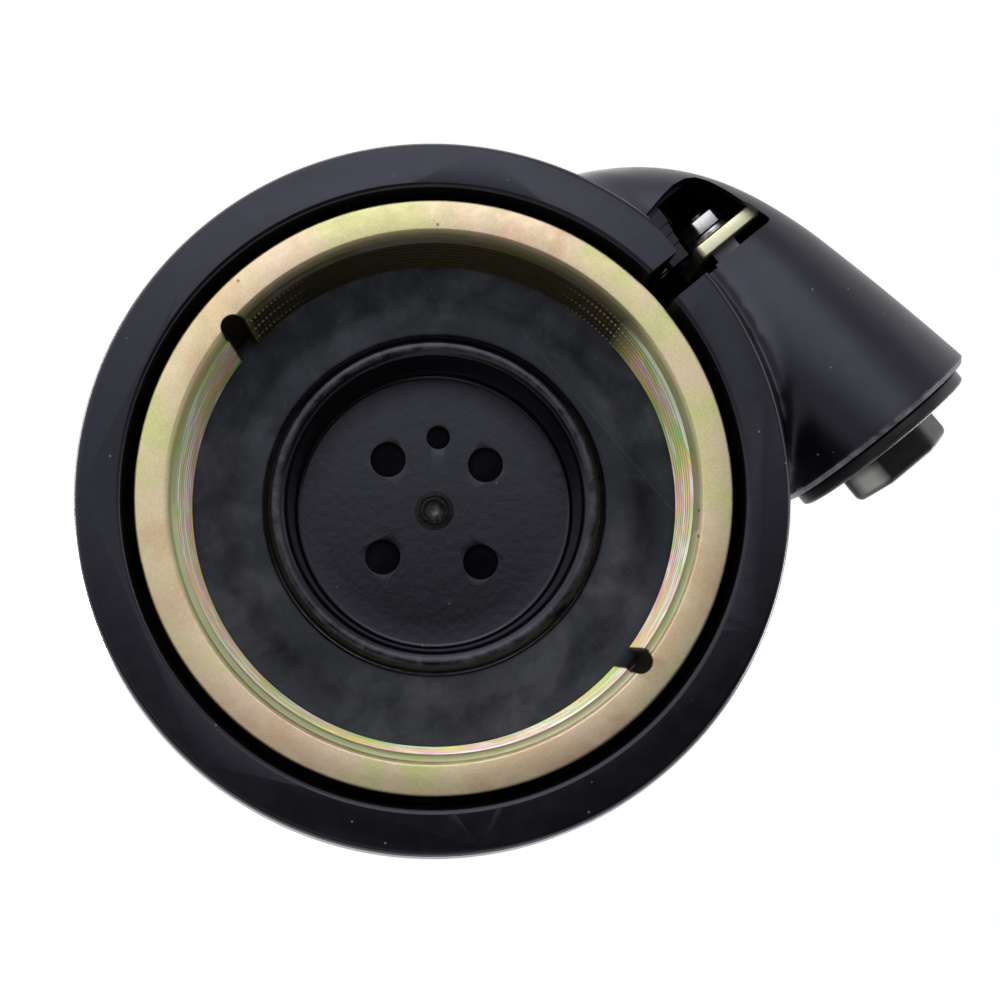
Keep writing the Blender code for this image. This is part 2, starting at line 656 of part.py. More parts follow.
def make_screws(steel):
    """Countersunk screws through the carrier into the ring, with their heads flush."""
    top = FLANGE_TOP_Z
    profile = [
        (0.0, top - SCREW_SOCKET_DEPTH),
        (SCREW_SOCKET_RADIUS, top - SCREW_SOCKET_DEPTH),
        (SCREW_SOCKET_RADIUS, top),
        (SCREW_HEAD_RADIUS, top),
        (SCREW_RADIUS, top - SCREW_HEAD_HEIGHT),
        (SCREW_RADIUS, top - SCREW_LENGTH + GAP),
        (0.0, top - SCREW_LENGTH + GAP),
    ]
    for i, (x, y) in enumerate(screw_places()):
        screw = turned(f"ring_screw_{i + 1}", profile, steel, SCREW_STEPS, closed=False)
        screw.location = (x, y, 0.0)


def make_carrier(steel):
    inner = DRUM_RADIUS - DRUM_WALL
    profile = [
        (POST_BORE, DRUM_TOP_Z),
        (DRUM_RADIUS - DRUM_EDGE, DRUM_TOP_Z),
        (DRUM_RADIUS, DRUM_TOP_Z - DRUM_EDGE),
        (DRUM_RADIUS, FLANGE_TOP_Z),
        (CARRIER_RADIUS, FLANGE_TOP_Z),
        (CARRIER_RADIUS, CARRIER_LOW_Z),
        (RING_RADIUS, CARRIER_LOW_Z),
        (RING_RADIUS, LIP_LOW_Z),
        (LIP_INNER_RADIUS, LIP_LOW_Z),
        (LIP_INNER_RADIUS, CARRIER_LOW_Z),
        (inner, CARRIER_LOW_Z),
        (inner, DRUM_CEILING_Z),
        (POST_BORE, DRUM_CEILING_Z),
    ]
    carrier = turned("carrier_plate", profile, steel, INNER_STEPS)
    boolean(carrier, lock_notches("carrier_notch_cut", LIP_LOW_Z - SPARE, FLANGE_TOP_Z + SPARE))
    bore = SCREW_RADIUS + GAP
    head_low = FLANGE_TOP_Z - SCREW_HEAD_HEIGHT - GAP
    slope = (SCREW_HEAD_RADIUS - SCREW_RADIUS) / SCREW_HEAD_HEIGHT
    wide = SCREW_HEAD_RADIUS + GAP + slope * (SPARE + GAP)
    holes = [cylinder("head_hole", bore, head_low, FLANGE_TOP_Z + SPARE, place, SCREW_STEPS, wide)
             for place in screw_places()]
    boolean(carrier, joined("carrier_head_cut", holes))
    holes = [cylinder("screw_hole", bore, LIP_LOW_Z - SPARE, head_low + SMALL_EDGE, place, SCREW_STEPS)
             for place in screw_places()]
    boolean(carrier, joined("carrier_screw_cut", holes))
    holes = [cylinder("vent", VENT_RADIUS, DRUM_CEILING_Z - SPARE, DRUM_TOP_Z + SPARE, place, SCREW_STEPS)
             for place in around(VENT_PITCH_RADIUS, VENT_COUNT, 0.0)]
    boolean(carrier, joined("vent_cut", holes))
    return carrier


def make_cup(paint):
    """Pressed cup with a rolled bead that holds the gasket's inner edge."""
    profile = [(POST_BORE, CUP_DISC_Z)]
    profile += arc(CUP_DISC_RADIUS, CUP_DISC_Z - CUP_CORNER, CUP_CORNER, CUP_CORNER, 90, 0, 2)
    profile += arc(BEAD_MIDDLE_RADIUS, BEAD_Z, BEAD_ROLL_RADIUS, BEAD_ROLL_RADIUS, 180, 350, 6)
    cup = turned("breather_cup", profile, paint, INNER_STEPS, closed=False)
    solid = cup.modifiers.new("sheet", "SOLIDIFY")
    solid.thickness = SHEET
    solid.offset = 0.0
    solid.use_even_offset = True
    low = CUP_DISC_Z - 2 * SHEET
    high = CUP_DISC_Z + 2 * SHEET
    holes = [cylinder("breather_hole", BREATHER_HOLE_RADIUS, low, high, place, SMALL_STEPS)
             for place in around(BREATHER_PITCH_RADIUS, 4, BREATHER_ANGLE)]
    bleed = around(BLEED_PITCH_RADIUS, 1, BLEED_ANGLE)[0]
    holes.append(cylinder("bleed_hole", BLEED_HOLE_RADIUS, low, high, bleed, HOLE_STEPS))
    boolean(cup, joined("cup_hole_cut", holes))
    return cup


def make_post(steel):
    """Rivet post: hollow flare below the cup, journal for the shell's bush on top."""
    top = JOURNAL_LOW_Z + JOURNAL_HEIGHT
    flare_top = CUP_DISC_Z - SHEET / 2 - GAP
    flare_low = flare_top - POST_FLARE_HEIGHT
    edge = SMALL_EDGE
    profile = [
        (0.0, top),
        (JOURNAL_RADIUS - edge, top),
        (JOURNAL_RADIUS, top - edge),
        (JOURNAL_RADIUS, JOURNAL_LOW_Z),
        (POST_RADIUS, JOURNAL_LOW_Z),
        (POST_RADIUS, flare_top),
        (POST_FLARE_RADIUS, flare_top),
        (POST_FLARE_RADIUS, flare_low + edge),
        (POST_FLARE_RADIUS - edge, flare_low),
        (POST_DIMPLE_RADIUS, flare_low),
        (POST_DIMPLE_RADIUS, flare_low + POST_DIMPLE_DEPTH),
        (0.0, flare_low + POST_DIMPLE_DEPTH + edge),
    ]
    return turned("pivot_post", profile, steel, SMALL_STEPS, closed=False)


def make_valve(steel, rubber):
    plate_top = VALVE_PLATE_Z + VALVE_PLATE_THICKNESS
    plate = turned("valve_plate", [
        (VALVE_BORE, plate_top + VALVE_HUB_HEIGHT),
        (VALVE_HUB_RADIUS, plate_top + VALVE_HUB_HEIGHT),
        (VALVE_HUB_RADIUS, plate_top),
        (VALVE_PLATE_RADIUS, plate_top),
        (VALVE_PLATE_RADIUS, VALVE_PLATE_Z),
        (VALVE_BORE, VALVE_PLATE_Z),
    ], steel)
    seal_top = VALVE_SEAL_Z + VALVE_SEAL_THICKNESS
    seal = tube("valve_seal", VALVE_BORE, VALVE_SEAL_RADIUS, VALVE_SEAL_Z, seal_top, rubber)
    return plate, seal


def make_spring(steel):
    low = VALVE_PLATE_Z + VALVE_PLATE_THICKNESS + GAP + SPRING_WIRE_RADIUS
    high = DRUM_CEILING_Z - GAP - SPRING_WIRE_RADIUS
    count = int(SPRING_TURNS * SPRING_POINTS_PER_TURN)
    curve = bpy.data.curves.new("valve_spring", "CURVE")
    curve.dimensions = "3D"
    curve.bevel_depth = SPRING_WIRE_RADIUS
    curve.bevel_resolution = 2
    curve.use_fill_caps = True
    spline = curve.splines.new("POLY")
    spline.points.add(count)
    for i, point in enumerate(spline.points):
        angle = math.tau * SPRING_TURNS * i / count
        height = low + (high - low) * i / count
        point.co = (SPRING_RADIUS * math.cos(angle), SPRING_RADIUS * math.sin(angle), height, 1.0)
    curve.materials.append(steel)
    spring = bpy.data.objects.new("valve_spring", curve)
    PARTS.objects.link(spring)
    return spring


def make_filter(foam):
    outer = DRUM_RADIUS - DRUM_WALL - 2 * GAP
    return tube("filter_element", FILTER_INNER_RADIUS, outer, CUP_TOP_Z + GAP, DRUM_CEILING_Z - GAP, foam)


def make_clip(steel):
    """Open ring in the skirt's groove, under the carrier's flange, with its gap at the cam's slot."""
    high = CLIP_LOW_Z + CLIP_THICKNESS
    clip = tube("retaining_ring", RING_RADIUS + GAP, CLIP_RADIUS, CLIP_LOW_Z, high, steel, ROUND_STEPS)
    half = CLIP_GAP_WIDTH / 2
    gap = box("clip_gap_cut", (RING_RADIUS - SPARE, SLOT_MIDDLE_Y - half, CLIP_LOW_Z - SPARE),
              (CLIP_RADIUS + SPARE, SLOT_MIDDLE_Y + half, high + SPARE))
    boolean(clip, gap)
    return clip


def make_barrel(brass):
    front = BARREL_FRONT_Y
    floor = front - BARREL_RECESS_DEPTH
    bore = ROTOR_RADIUS + GAP
    edge = SMALL_EDGE
    profile = [
        (BARREL_RECESS_RADIUS, front),
        (BARREL_FLANGE_RADIUS - edge, front),
        (BARREL_FLANGE_RADIUS, front - edge),
        (BARREL_FLANGE_RADIUS, BARREL_FLANGE_BACK_Y),
        (BARREL_RADIUS, BARREL_FLANGE_BACK_Y),
        (BARREL_RADIUS, BARREL_BACK_Y),
        (ROTOR_TAIL_RADIUS + GAP, BARREL_BACK_Y),
        (ROTOR_TAIL_RADIUS + GAP, BARREL_BACK_Y + BARREL_BACK_WALL),
        (bore, BARREL_BACK_Y + BARREL_BACK_WALL),
        (bore, floor),
        (BARREL_RECESS_RADIUS, floor),
    ]
    barrel = along_lock(turned("lock_barrel", profile, brass, LOCK_STEPS))
    half = WAFER_WIDTH / 2 + 2 * GAP
    last = WAFER_FIRST_Y + WAFER_PITCH * WAFER_COUNT
    deep = BARREL_GROOVE_RADIUS
    groove = box("wafer_groove_cut", (LOCK_X - half, WAFER_FIRST_Y - WAFER_PITCH, LOCK_Z - deep),
                 (LOCK_X + half, last, LOCK_Z + deep))
    boolean(barrel, groove)
    boolean(barrel, grub_hole("barrel_grub_cut"))
    return barrel


def make_rotor(steel):
    """The lock's core, with its keyway, and a tail that is square where the cam sits."""
    shoulder = BARREL_BACK_Y + BARREL_BACK_WALL + GAP
    neck_high = BARREL_BACK_Y
    neck_low = neck_high - ROTOR_CLIP_THICKNESS - 2 * GAP
    square_high = CAM_FRONT_Y + TAIL_SQUARE_LEAD
    stub_end = CAM_BACK_Y - CAM_WASHER_THICKNESS - CAM_NUT_HEIGHT - 4 * GAP
    tail = TAIL_SQUARE / math.sqrt(2)
    profile = [
        (0.0, ROTOR_FRONT_Y),
        (ROTOR_RADIUS, ROTOR_FRONT_Y),
        (ROTOR_RADIUS, shoulder),
        (ROTOR_TAIL_RADIUS, shoulder),
        (ROTOR_TAIL_RADIUS, neck_high),
        (ROTOR_NECK_RADIUS, neck_high),
        (ROTOR_NECK_RADIUS, neck_low),
        (tail, neck_low),
        (tail, square_high),
        (TAIL_STUB_RADIUS, square_high),
        (TAIL_STUB_RADIUS, stub_end),
        (0.0, stub_end),
    ]
    rotor = along_lock(turned("lock_rotor", profile, steel, SMALL_STEPS, closed=False))
    half = TAIL_SQUARE / 2
    block = box("tail_square", (LOCK_X - half, CAM_BACK_Y - GAP / 2, LOCK_Z - half),
                (LOCK_X + half, square_high + GAP, LOCK_Z + half))
    boolean(rotor, block, "UNION")
    half = KEYWAY_WIDTH / 2
    keyway = box("keyway_cut", (LOCK_X - half, WAFER_FIRST_Y - WAFER_PITCH, LOCK_Z - KEYWAY_HEIGHT / 2),
                 (LOCK_X + half, ROTOR_FRONT_Y + SPARE, LOCK_Z + KEYWAY_HEIGHT / 2))
    boolean(rotor, keyway)
    half = WAFER_WIDTH / 2 + GAP
    thick = WAFER_THICKNESS / 2 + GAP
    slots = []
    for y in wafer_places():
        slots.append(box("slot", (LOCK_X - half, y - thick, LOCK_Z - 2 * ROTOR_RADIUS),
                         (LOCK_X + half, y + thick, LOCK_Z + 2 * ROTOR_RADIUS)))
    boolean(rotor, joined("wafer_slot_cut", slots))
    return rotor


def wafer_places():
    return [WAFER_FIRST_Y + WAFER_PITCH * i for i in range(WAFER_COUNT)]


def make_wafers(brass):
    """Wafer tumblers at the shear line, as they stand with the key in."""
    half_x = WAFER_WIDTH / 2
    half_z = WAFER_HEIGHT / 2
    edge = [(-half_x, -half_z), (half_x, -half_z), (half_x, half_z), (-half_x, half_z)]
    key_x = KEYWAY_WIDTH / 2 + GAP
    key_z = WAFER_HEIGHT / 4
    window = [(-key_x, -key_z), (key_x, -key_z), (key_x, key_z), (-key_x, key_z)]
    wafers = []
    for i, y in enumerate(wafer_places()):
        wafer = outline(f"wafer_{i + 1}", [edge, window], WAFER_THICKNESS, brass)
        wafers.append(across_lock(wafer, y))
    return wafers


def make_cam(zinc):
    """Bell-crank cam: the long tongue stands in the lobe at rest and swings in through the skirt's slot."""
    tip = CAM_LENGTH - CAM_TONGUE_HALF_WIDTH
    side = CAM_TONGUE_HALF_WIDTH
    edge = arc(0.0, tip, side, side, 0, 180, 8)
    edge += arc(0.0, 0.0, CAM_HUB_RADIUS, CAM_HUB_RADIUS, 150, 255, 6)
    corner = CAM_CORNER
    edge += arc(CAM_SHORT_REACH - corner, -CAM_SHORT_LOW + corner, corner, corner, 270, 360, 3)
    edge += arc(CAM_SHORT_REACH - corner, CAM_SHORT_HIGH - corner, corner, corner, 0, 90, 3)
    edge += [(side + corner, CAM_SHORT_HIGH), (side, CAM_SHORT_HIGH + corner)]
    plate = outline("lock_cam", [edge, square(TAIL_SQUARE + 2 * GAP)], CAM_THICKNESS, zinc)
    return across_lock(plate, CAM_MIDDLE_Y)


def make_cam_fixings(steel):
    hole = circle(TAIL_STUB_RADIUS + GAP, HOLE_STEPS)
    washer_y = CAM_BACK_Y - GAP - CAM_WASHER_THICKNESS / 2
    washer = outline("cam_washer", [circle(CAM_WASHER_RADIUS), hole], CAM_WASHER_THICKNESS, steel)
    across_lock(washer, washer_y)
    nut_y = washer_y - CAM_WASHER_THICKNESS / 2 - GAP - CAM_NUT_HEIGHT / 2
    nut = outline("cam_nut", [circle(CAM_NUT_ACROSS_FLATS / math.sqrt(3), 6), hole], CAM_NUT_HEIGHT, steel)
    across_lock(nut, nut_y)
    return washer, nut


def make_rotor_clip(steel):
    high = BARREL_BACK_Y - GAP
    low = high - ROTOR_CLIP_THICKNESS
    inner = ROTOR_NECK_RADIUS + GAP
    return along_lock(tube("rotor_clip", inner, ROTOR_CLIP_RADIUS, low, high, steel, SMALL_STEPS))


def make_grub(steel):
    low = LOCK_Z + BARREL_RADIUS - GRUB_BITE + GAP
    high = low + GRUB_LENGTH
    profile = [
        (0.0, high - GRUB_SOCKET_DEPTH),
        (GRUB_SOCKET_RADIUS, high - GRUB_SOCKET_DEPTH),
        (GRUB_SOCKET_RADIUS, high),
        (GRUB_RADIUS, high),
        (GRUB_RADIUS, low),
        (0.0, low),
    ]
    grub = turned("barrel_screw", profile, steel, HOLE_STEPS, closed=False)
    grub.location = (LOCK_X, GRUB_Y, 0.0)
    return grub


def make_cover(plastic):
    """Dust cover: a disc with a hexagonal grip outside and a spigot that plugs the barrel."""
    back = COVER_BACK_Y
    front = back + COVER_THICKNESS
    groove = SPIGOT_RADIUS - 2 * COVER_SEAL_WIRE - GAP / 3
    middle = back - SPIGOT_LENGTH / 2
    half = COVER_SEAL_WIRE + GAP
    profile = [
        (0.0, front),
        (COVER_RADIUS - COVER_EDGE, front),
        (COVER_RADIUS, front - COVER_EDGE),
        (COVER_RADIUS, back + COVER_EDGE),
        (COVER_RADIUS - COVER_EDGE, back),
        (SPIGOT_RADIUS, back),
        (SPIGOT_RADIUS, middle + half),
        (groove, middle + half),
        (groove, middle - half),
        (SPIGOT_RADIUS, middle - half),
        (SPIGOT_RADIUS - COVER_EDGE, back - SPIGOT_LENGTH),
        (0.0, back - SPIGOT_LENGTH),
    ]
    cover = along_lock(turned("dust_cover", profile, plastic, INNER_STEPS, closed=False))
    corner_radius = GRIP_ACROSS_FLATS / math.sqrt(3)
    grip = outline("grip_form", [circle(corner_radius, 6, GRIP_TURN)], GRIP_HEIGHT + COVER_THICKNESS / 2)
    along_lock(grip, front + GRIP_HEIGHT / 2 - COVER_THICKNESS / 4)
    boolean(cover, made_mesh(grip), "UNION")
    return cover


def make_cover_seal(rubber):
    radius = SPIGOT_RADIUS - COVER_SEAL_WIRE + GAP / 2
    middle = COVER_BACK_Y - SPIGOT_LENGTH / 2
    ring = arc(radius, middle, COVER_SEAL_WIRE, COVER_SEAL_WIRE, 90, -210, 5)
    return along_lock(turned("cover_seal", ring, rubber, LOCK_STEPS))


def pivot(name, place, items):
    """An empty on a joint's axis that carries the given pieces without moving them."""
    empty = bpy.data.objects.new(name, None)
    empty.location = place
    PARTS.objects.link(empty)
    bpy.context.view_layer.update()
    for item in items:
        item.parent = empty
        item.matrix_parent_inverse = empty.matrix_world.inverted()
    return empty


def main():
    paint = finish_material("black_paint", (0.012, 0.012, 0.014), 0.28, 0.0)
    zinc = finish_material("yellow_zinc", (0.62, 0.54, 0.33), 0.34, 1.0)
    steel = finish_material("bright_steel", (0.55, 0.56, 0.58), 0.35, 1.0)
    brass = finish_material("brass", (0.68, 0.52, 0.25), 0.32, 1.0)
    rubber = finish_material("black_rubber", (0.02, 0.02, 0.022), 0.7, 0.0)
    plastic = finish_material("black_plastic", (0.015, 0.015, 0.017), 0.42, 0.0)
    foam = finish_material("filter_felt", (0.42, 0.38, 0.28), 0.95, 0.0)

    make_ring(zinc)
    make_screws(zinc)
    make_carrier(steel)
    tube("seal_gasket", GASKET_INNER_RADIUS, GASKET_OUTER_RADIUS, GASKET_LOW_Z,
         GASKET_LOW_Z + GASKET_THICKNESS, rubber, ROUND_STEPS)
    make_cup(paint)
    make_filter(foam)
    make_post(steel)
    tube("spacer_sleeve", POST_BORE, SLEEVE_RADIUS, CUP_TOP_Z + GAP, DRUM_CEILING_Z - GAP, steel, SMALL_STEPS)
    tube("thrust_washer", BUSH_BORE, WASHER_RADIUS, JOURNAL_LOW_Z, JOURNAL_LOW_Z + WASHER_THICKNESS,
         brass, SMALL_STEPS)
    make_spring(steel)
    valve = make_valve(steel, rubber)

    shell = make_shell(paint)
    clip = make_clip(steel)
    bush_top = BOSS_BORE_TOP_Z - GAP
    bush = tube("pivot_bush", BUSH_BORE, BUSH_BORE + BUSH_WALL, BOSS_LOW_Z, bush_top, brass, SMALL_STEPS)
    barrel = make_barrel(brass)
    grub = make_grub(steel)

    lock = [make_rotor(steel), make_rotor_clip(steel), make_cam(zinc)]
    lock += make_wafers(brass)
    lock += make_cam_fixings(steel)
    cover = [make_cover(plastic), make_cover_seal(rubber)]

    lock_axis = (LOCK_X, CAM_MIDDLE_Y, LOCK_Z)
    shell_axis = pivot("shell_axis", (0.0, 0.0, 0.0), [shell, clip, bush, barrel, grub])
    pivot("lock_axis", lock_axis, lock).parent = shell_axis
    pivot("cover_axis", (LOCK_X, COVER_BACK_Y, LOCK_Z), cover).parent = shell_axis
    pivot("valve_axis", (0.0, 0.0, VALVE_SEAL_Z), valve)


clear_scene()
PARTS = new_collection("hydraulic_filler_cap")
CUTTERS = new_collection("cutters")
main()
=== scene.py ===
import math

import bmesh
import bpy
from mathutils import Matrix, Vector


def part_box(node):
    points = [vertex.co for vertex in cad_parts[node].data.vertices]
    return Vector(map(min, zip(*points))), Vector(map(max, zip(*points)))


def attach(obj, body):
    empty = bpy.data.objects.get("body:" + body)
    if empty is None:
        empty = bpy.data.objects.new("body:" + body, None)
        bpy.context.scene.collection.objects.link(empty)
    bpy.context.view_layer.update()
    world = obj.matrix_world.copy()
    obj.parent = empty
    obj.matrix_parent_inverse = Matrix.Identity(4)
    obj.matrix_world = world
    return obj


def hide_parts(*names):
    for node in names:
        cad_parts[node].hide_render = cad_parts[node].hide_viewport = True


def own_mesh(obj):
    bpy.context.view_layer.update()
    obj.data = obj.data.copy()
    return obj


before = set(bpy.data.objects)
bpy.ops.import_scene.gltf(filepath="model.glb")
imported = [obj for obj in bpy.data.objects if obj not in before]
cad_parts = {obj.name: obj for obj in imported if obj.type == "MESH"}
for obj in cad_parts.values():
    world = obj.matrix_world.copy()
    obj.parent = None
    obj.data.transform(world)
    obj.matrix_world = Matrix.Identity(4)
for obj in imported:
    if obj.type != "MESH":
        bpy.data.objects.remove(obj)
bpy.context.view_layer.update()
mm = 0.001
weld = 0.002 * mm  # points nearer than this become one
sharp = math.radians(32)  # edges that turn more than this are rounded


# Small helpers for modelling

def deselectAll():
    if bpy.context.object and bpy.context.object.mode != "OBJECT":
        bpy.ops.object.mode_set(mode="OBJECT")
    bpy.ops.object.select_all(action="DESELECT")


def pick(piece):
    deselectAll()
    piece.select_set(True)
    bpy.context.view_layer.objects.active = piece


def startEdit(piece, mode="VERT"):
    pick(piece)
    bpy.ops.object.mode_set(mode="EDIT")
    bpy.ops.mesh.select_mode(type=mode)
    bpy.ops.mesh.select_all(action="SELECT")


def endEdit():
    bpy.ops.object.mode_set(mode="OBJECT")


def selectWhere(piece, test, kind="verts"):
    # leaves selected what passes the test, in edit mode
    shape = bmesh.from_edit_mesh(piece.data)
    for part in list(shape.verts) + list(shape.edges) + list(shape.faces):
        part.select_set(False)
    found = [part for part in getattr(shape, kind) if test(part)]
    for part in found:
        part.select_set(True)
    shape.select_flush_mode()
    bmesh.update_edit_mesh(piece.data)
    return len(found)


def arcPoints(centreX, centreZ, radiusX, radiusZ, start, end, steps):
    points = []
    for i in range(steps + 1):
        angle = math.radians(start + (end - start) * i / steps)
        points.append((centreX + radiusX * math.cos(angle), centreZ + radiusZ * math.sin(angle)))
    return points


def extrude(step):
    bpy.ops.mesh.extrude_region_move(TRANSFORM_OT_translate={"value": step})


def drawLine(name, points):
    # one vertex, extruded from point to point; the points are (x, y, z) in millimetres
    deselectAll()
    bpy.ops.mesh.primitive_plane_add(size=mm, location=(0, 0, 0))
    piece = bpy.context.object
    piece.name = name
    startEdit(piece)
    bpy.ops.mesh.merge(type="CENTER")
    bpy.ops.transform.translate(value=[value * mm for value in points[0]])
    for before, after in zip(points, points[1:]):
        extrude([(b - a) * mm for a, b in zip(before, after)])
    return piece


def closeUp():
    bpy.ops.mesh.select_all(action="SELECT")
    bpy.ops.mesh.remove_doubles(threshold=weld)
    bpy.ops.mesh.normals_make_consistent(inside=False)
    endEdit()


def applyPlace():
    bpy.ops.object.transform_apply(location=True, rotation=True, scale=True)


def turnProfile(name, points, steps=128):
    # the points are (radius, height) in millimetres
    piece = drawLine(name, [(radius, 0, height) for radius, height in points])
    bpy.ops.mesh.select_all(action="SELECT")
    bpy.ops.mesh.spin(steps=steps, angle=math.tau, center=(0, 0, 0), axis=(0, 0, 1))
    closeUp()
    return piece


def extrudeOutline(name, points, low, high):
    # a plate with the given (x, y) outline in millimetres, from the low height to the high one
    piece = drawLine(name, [(x, y, low) for x, y in points])
    bpy.ops.mesh.select_all(action="SELECT")
    bpy.ops.mesh.edge_face_add()
    extrude((0, 0, (high - low) * mm))
    closeUp()
    return piece


def settle(piece, turn=(0, 0, 0), place=(0, 0, 0)):
    # turns and moves a piece, and leaves its place in its mesh
    piece.rotation_euler = turn
    piece.location = place
    pick(piece)
    applyPlace()
    return piece


def layOnLock(piece, y=0.0):
    return settle(piece, (-math.pi / 2, 0, 0), (lock["x"] * mm, y * mm, lock["z"] * mm))


def standOnLock(piece, y=0.0):
    return settle(piece, (math.pi / 2, 0, 0), (lock["x"] * mm, y * mm, lock["z"] * mm))


def addModifier(piece, kind, **values):
    pick(piece)
    modifier = piece.modifiers.new(kind.lower(), kind)
    for name, value in values.items():
        setattr(modifier, name, value)
    bpy.ops.object.modifier_apply(modifier=modifier.name)


def cut(piece, cutter, operation="DIFFERENCE", solver="MANIFOLD"):
    addModifier(piece, "BOOLEAN", operation=operation, solver=solver, object=cutter)
    bpy.data.objects.remove(cutter)


def drillHole(piece, pitch, turn, radius, z, depth, corners, solver="MANIFOLD"):
    # a round hole along Z; pitch is how far it is from the axis
    angle = math.radians(turn)
    deselectAll()
    bpy.ops.mesh.primitive_cylinder_add(
        vertices=corners, radius=radius * mm, depth=depth * mm,
        location=(pitch * math.cos(angle) * mm, pitch * math.sin(angle) * mm, z * mm))
    cutter = bpy.context.object
    applyPlace()
    cut(piece, cutter, solver=solver)


def bevelEdges(piece, width, test, segments=2):
    # rounds the sharp edges that pass the test
    startEdit(piece, "EDGE")
    if selectWhere(piece, lambda edge: len(edge.link_faces) == 2 and edge.calc_face_angle(0) > sharp
                   and test(edge), "edges"):
        bpy.ops.mesh.bevel(offset=width * mm, segments=segments, profile=0.6, affect="EDGES",
                           clamp_overlap=True)
    endEdit()


def smoothOff(piece, angle=35):
    pick(piece)
    bpy.ops.object.shade_smooth_by_angle(angle=math.radians(angle))


def dress(piece, material, body, slot, *nodes):
    piece.data.materials.clear()
    piece.data.materials.append(material)
    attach(piece, body)
    if nodes:
        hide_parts(*nodes)
    return piece


# Shader node helpers

def addNode(tree, kind, inputs=None, **values):
    node = tree.nodes.new(kind)
    row, column = divmod(len(tree.nodes), 9)  # rows of nine in the node editor
    node.location = (220 * column - 900, 400 - 180 * row)
    for name, value in values.items():
        setattr(node, name, value)
    for name, value in (inputs or {}).items():
        node.inputs[name].default_value = value
    return node


def wire(tree, *pairs):
    for start, end in pairs:
        tree.links.new(start, end)


def feed(tree, value, socket):
    # value is a number, a colour or a socket
    if isinstance(value, (int, float)):
        socket.default_value = value
    elif isinstance(value, tuple):
        socket.default_value = (*value, 1.0)
    else:
        tree.links.new(value, socket)


def mathNode(tree, operation, first, second=0.5):
    node = addNode(tree, "ShaderNodeMath", operation=operation)
    feed(tree, first, node.inputs[0])
    feed(tree, second, node.inputs[1])
    return node.outputs[0]


def times(tree, *values):
    product = values[0]
    for value in values[1:]:
        product = mathNode(tree, "MULTIPLY", product, value)
    return product


def rangeNode(tree, value, fromLow, fromHigh, toLow=0.0, toHigh=1.0):
    node = addNode(tree, "ShaderNodeMapRange", clamp=True)
    feed(tree, value, node.inputs["Value"])
    for name, number in zip(("From Min", "From Max", "To Min", "To Max"), (fromLow, fromHigh, toLow, toHigh)):
        feed(tree, number, node.inputs[name])
    return node.outputs[0]


def mixColour(tree, mask, first, second, share=1.0):
    # second lies over first where the mask is 1; a share below 1 thins it
    node = addNode(tree, "ShaderNodeMix", data_type="RGBA", clamp_factor=True)
    feed(tree, mask if share == 1.0 else times(tree, mask, share), node.inputs[0])
    feed(tree, first, node.inputs[6])
    feed(tree, second, node.inputs[7])
    return node.outputs[2]


def vectorNode(tree, operation, vector, other):
    node = addNode(tree, "ShaderNodeVectorMath", operation=operation)
    node.inputs[1].default_value = other
    wire(tree, (vector, node.inputs[0]))
    return node.outputs["Value" if operation == "DOT_PRODUCT" else "Vector"]


def splitPlace(tree, vector):
    split = addNode(tree, "ShaderNodeSeparateXYZ")
    wire(tree, (vector, split.inputs[0]))
    return split.outputs


def axisRadius(tree, place, centre=(0.0, 0.0), flat="XY"):
    # distance from an axis along Z, or along Y with flat "XZ", and the place along it
    parts = splitPlace(tree, place)
    second = 1 if flat == "XY" else 2
    across = mathNode(tree, "SUBTRACT", parts[0], centre[0])
    up = mathNode(tree, "SUBTRACT", parts[second], centre[1])
    squares = mathNode(tree, "ADD", times(tree, across, across), times(tree, up, up))
    return mathNode(tree, "SQRT", squares), parts[3 - second]


def texture(tree, kind, vector, inputs, **values):
    node = addNode(tree, "ShaderNodeTex" + kind, **values)
    wire(tree, (vector, node.inputs["Vector"]))
    for name, value in inputs.items():
        feed(tree, value, node.inputs[name])
    return node


# Effects that several materials share

def newGroup(name, output, vector=True, **inputs):
    # a group with the vector, the numbers in inputs and one number out
    tree = bpy.data.node_groups.new(name, "ShaderNodeTree")
    if vector:
        tree.interface.new_socket(name="Vector", in_out="INPUT", socket_type="NodeSocketVector")
    for label, value in inputs.items():
        socket = tree.interface.new_socket(name=label.replace("_", " "), in_out="INPUT",
                                           socket_type="NodeSocketFloat")
        socket.default_value = value
    tree.interface.new_socket(name=output, in_out="OUTPUT", socket_type="NodeSocketFloat")
    given, result = addNode(tree, "NodeGroupInput"), addNode(tree, "NodeGroupOutput")
    return tree, given.outputs, result.inputs[0]


def makeMottle():
    # cloudy variation, from 0 to 1
    tree, given, result = newGroup("mottle", "Value", Scale=120.0, Contrast=0.3)
    broad = texture(tree, "Noise", given["Vector"],
                    {"Scale": given["Scale"], "Detail": 5.0, "Roughness": 0.62, "Distortion": 0.4})
    low = mathNode(tree, "SUBTRACT", 0.5, given["Contrast"])
    high = mathNode(tree, "ADD", 0.5, given["Contrast"])
    wire(tree, (rangeNode(tree, broad.outputs["Fac"], low, high), result))
    return tree


def makeSpecks():
    # scattered grains of dust, 1 on a grain
    tree, given, result = newGroup("dustSpecks", "Mask", Scale=900.0, Size=0.12, Cover=0.2)
    cells = texture(tree, "Voronoi", given["Vector"], {"Scale": given["Scale"]}, feature="F1")
    split = addNode(tree, "ShaderNodeSeparateColor")
    wire(tree, (cells.outputs["Color"], split.inputs["Color"]))
    grain = mathNode(tree, "LESS_THAN", cells.outputs["Distance"], given["Size"])
    chosen = mathNode(tree, "LESS_THAN", split.outputs[0], given["Cover"])
    wire(tree, (times(tree, grain, chosen), result))
    return tree


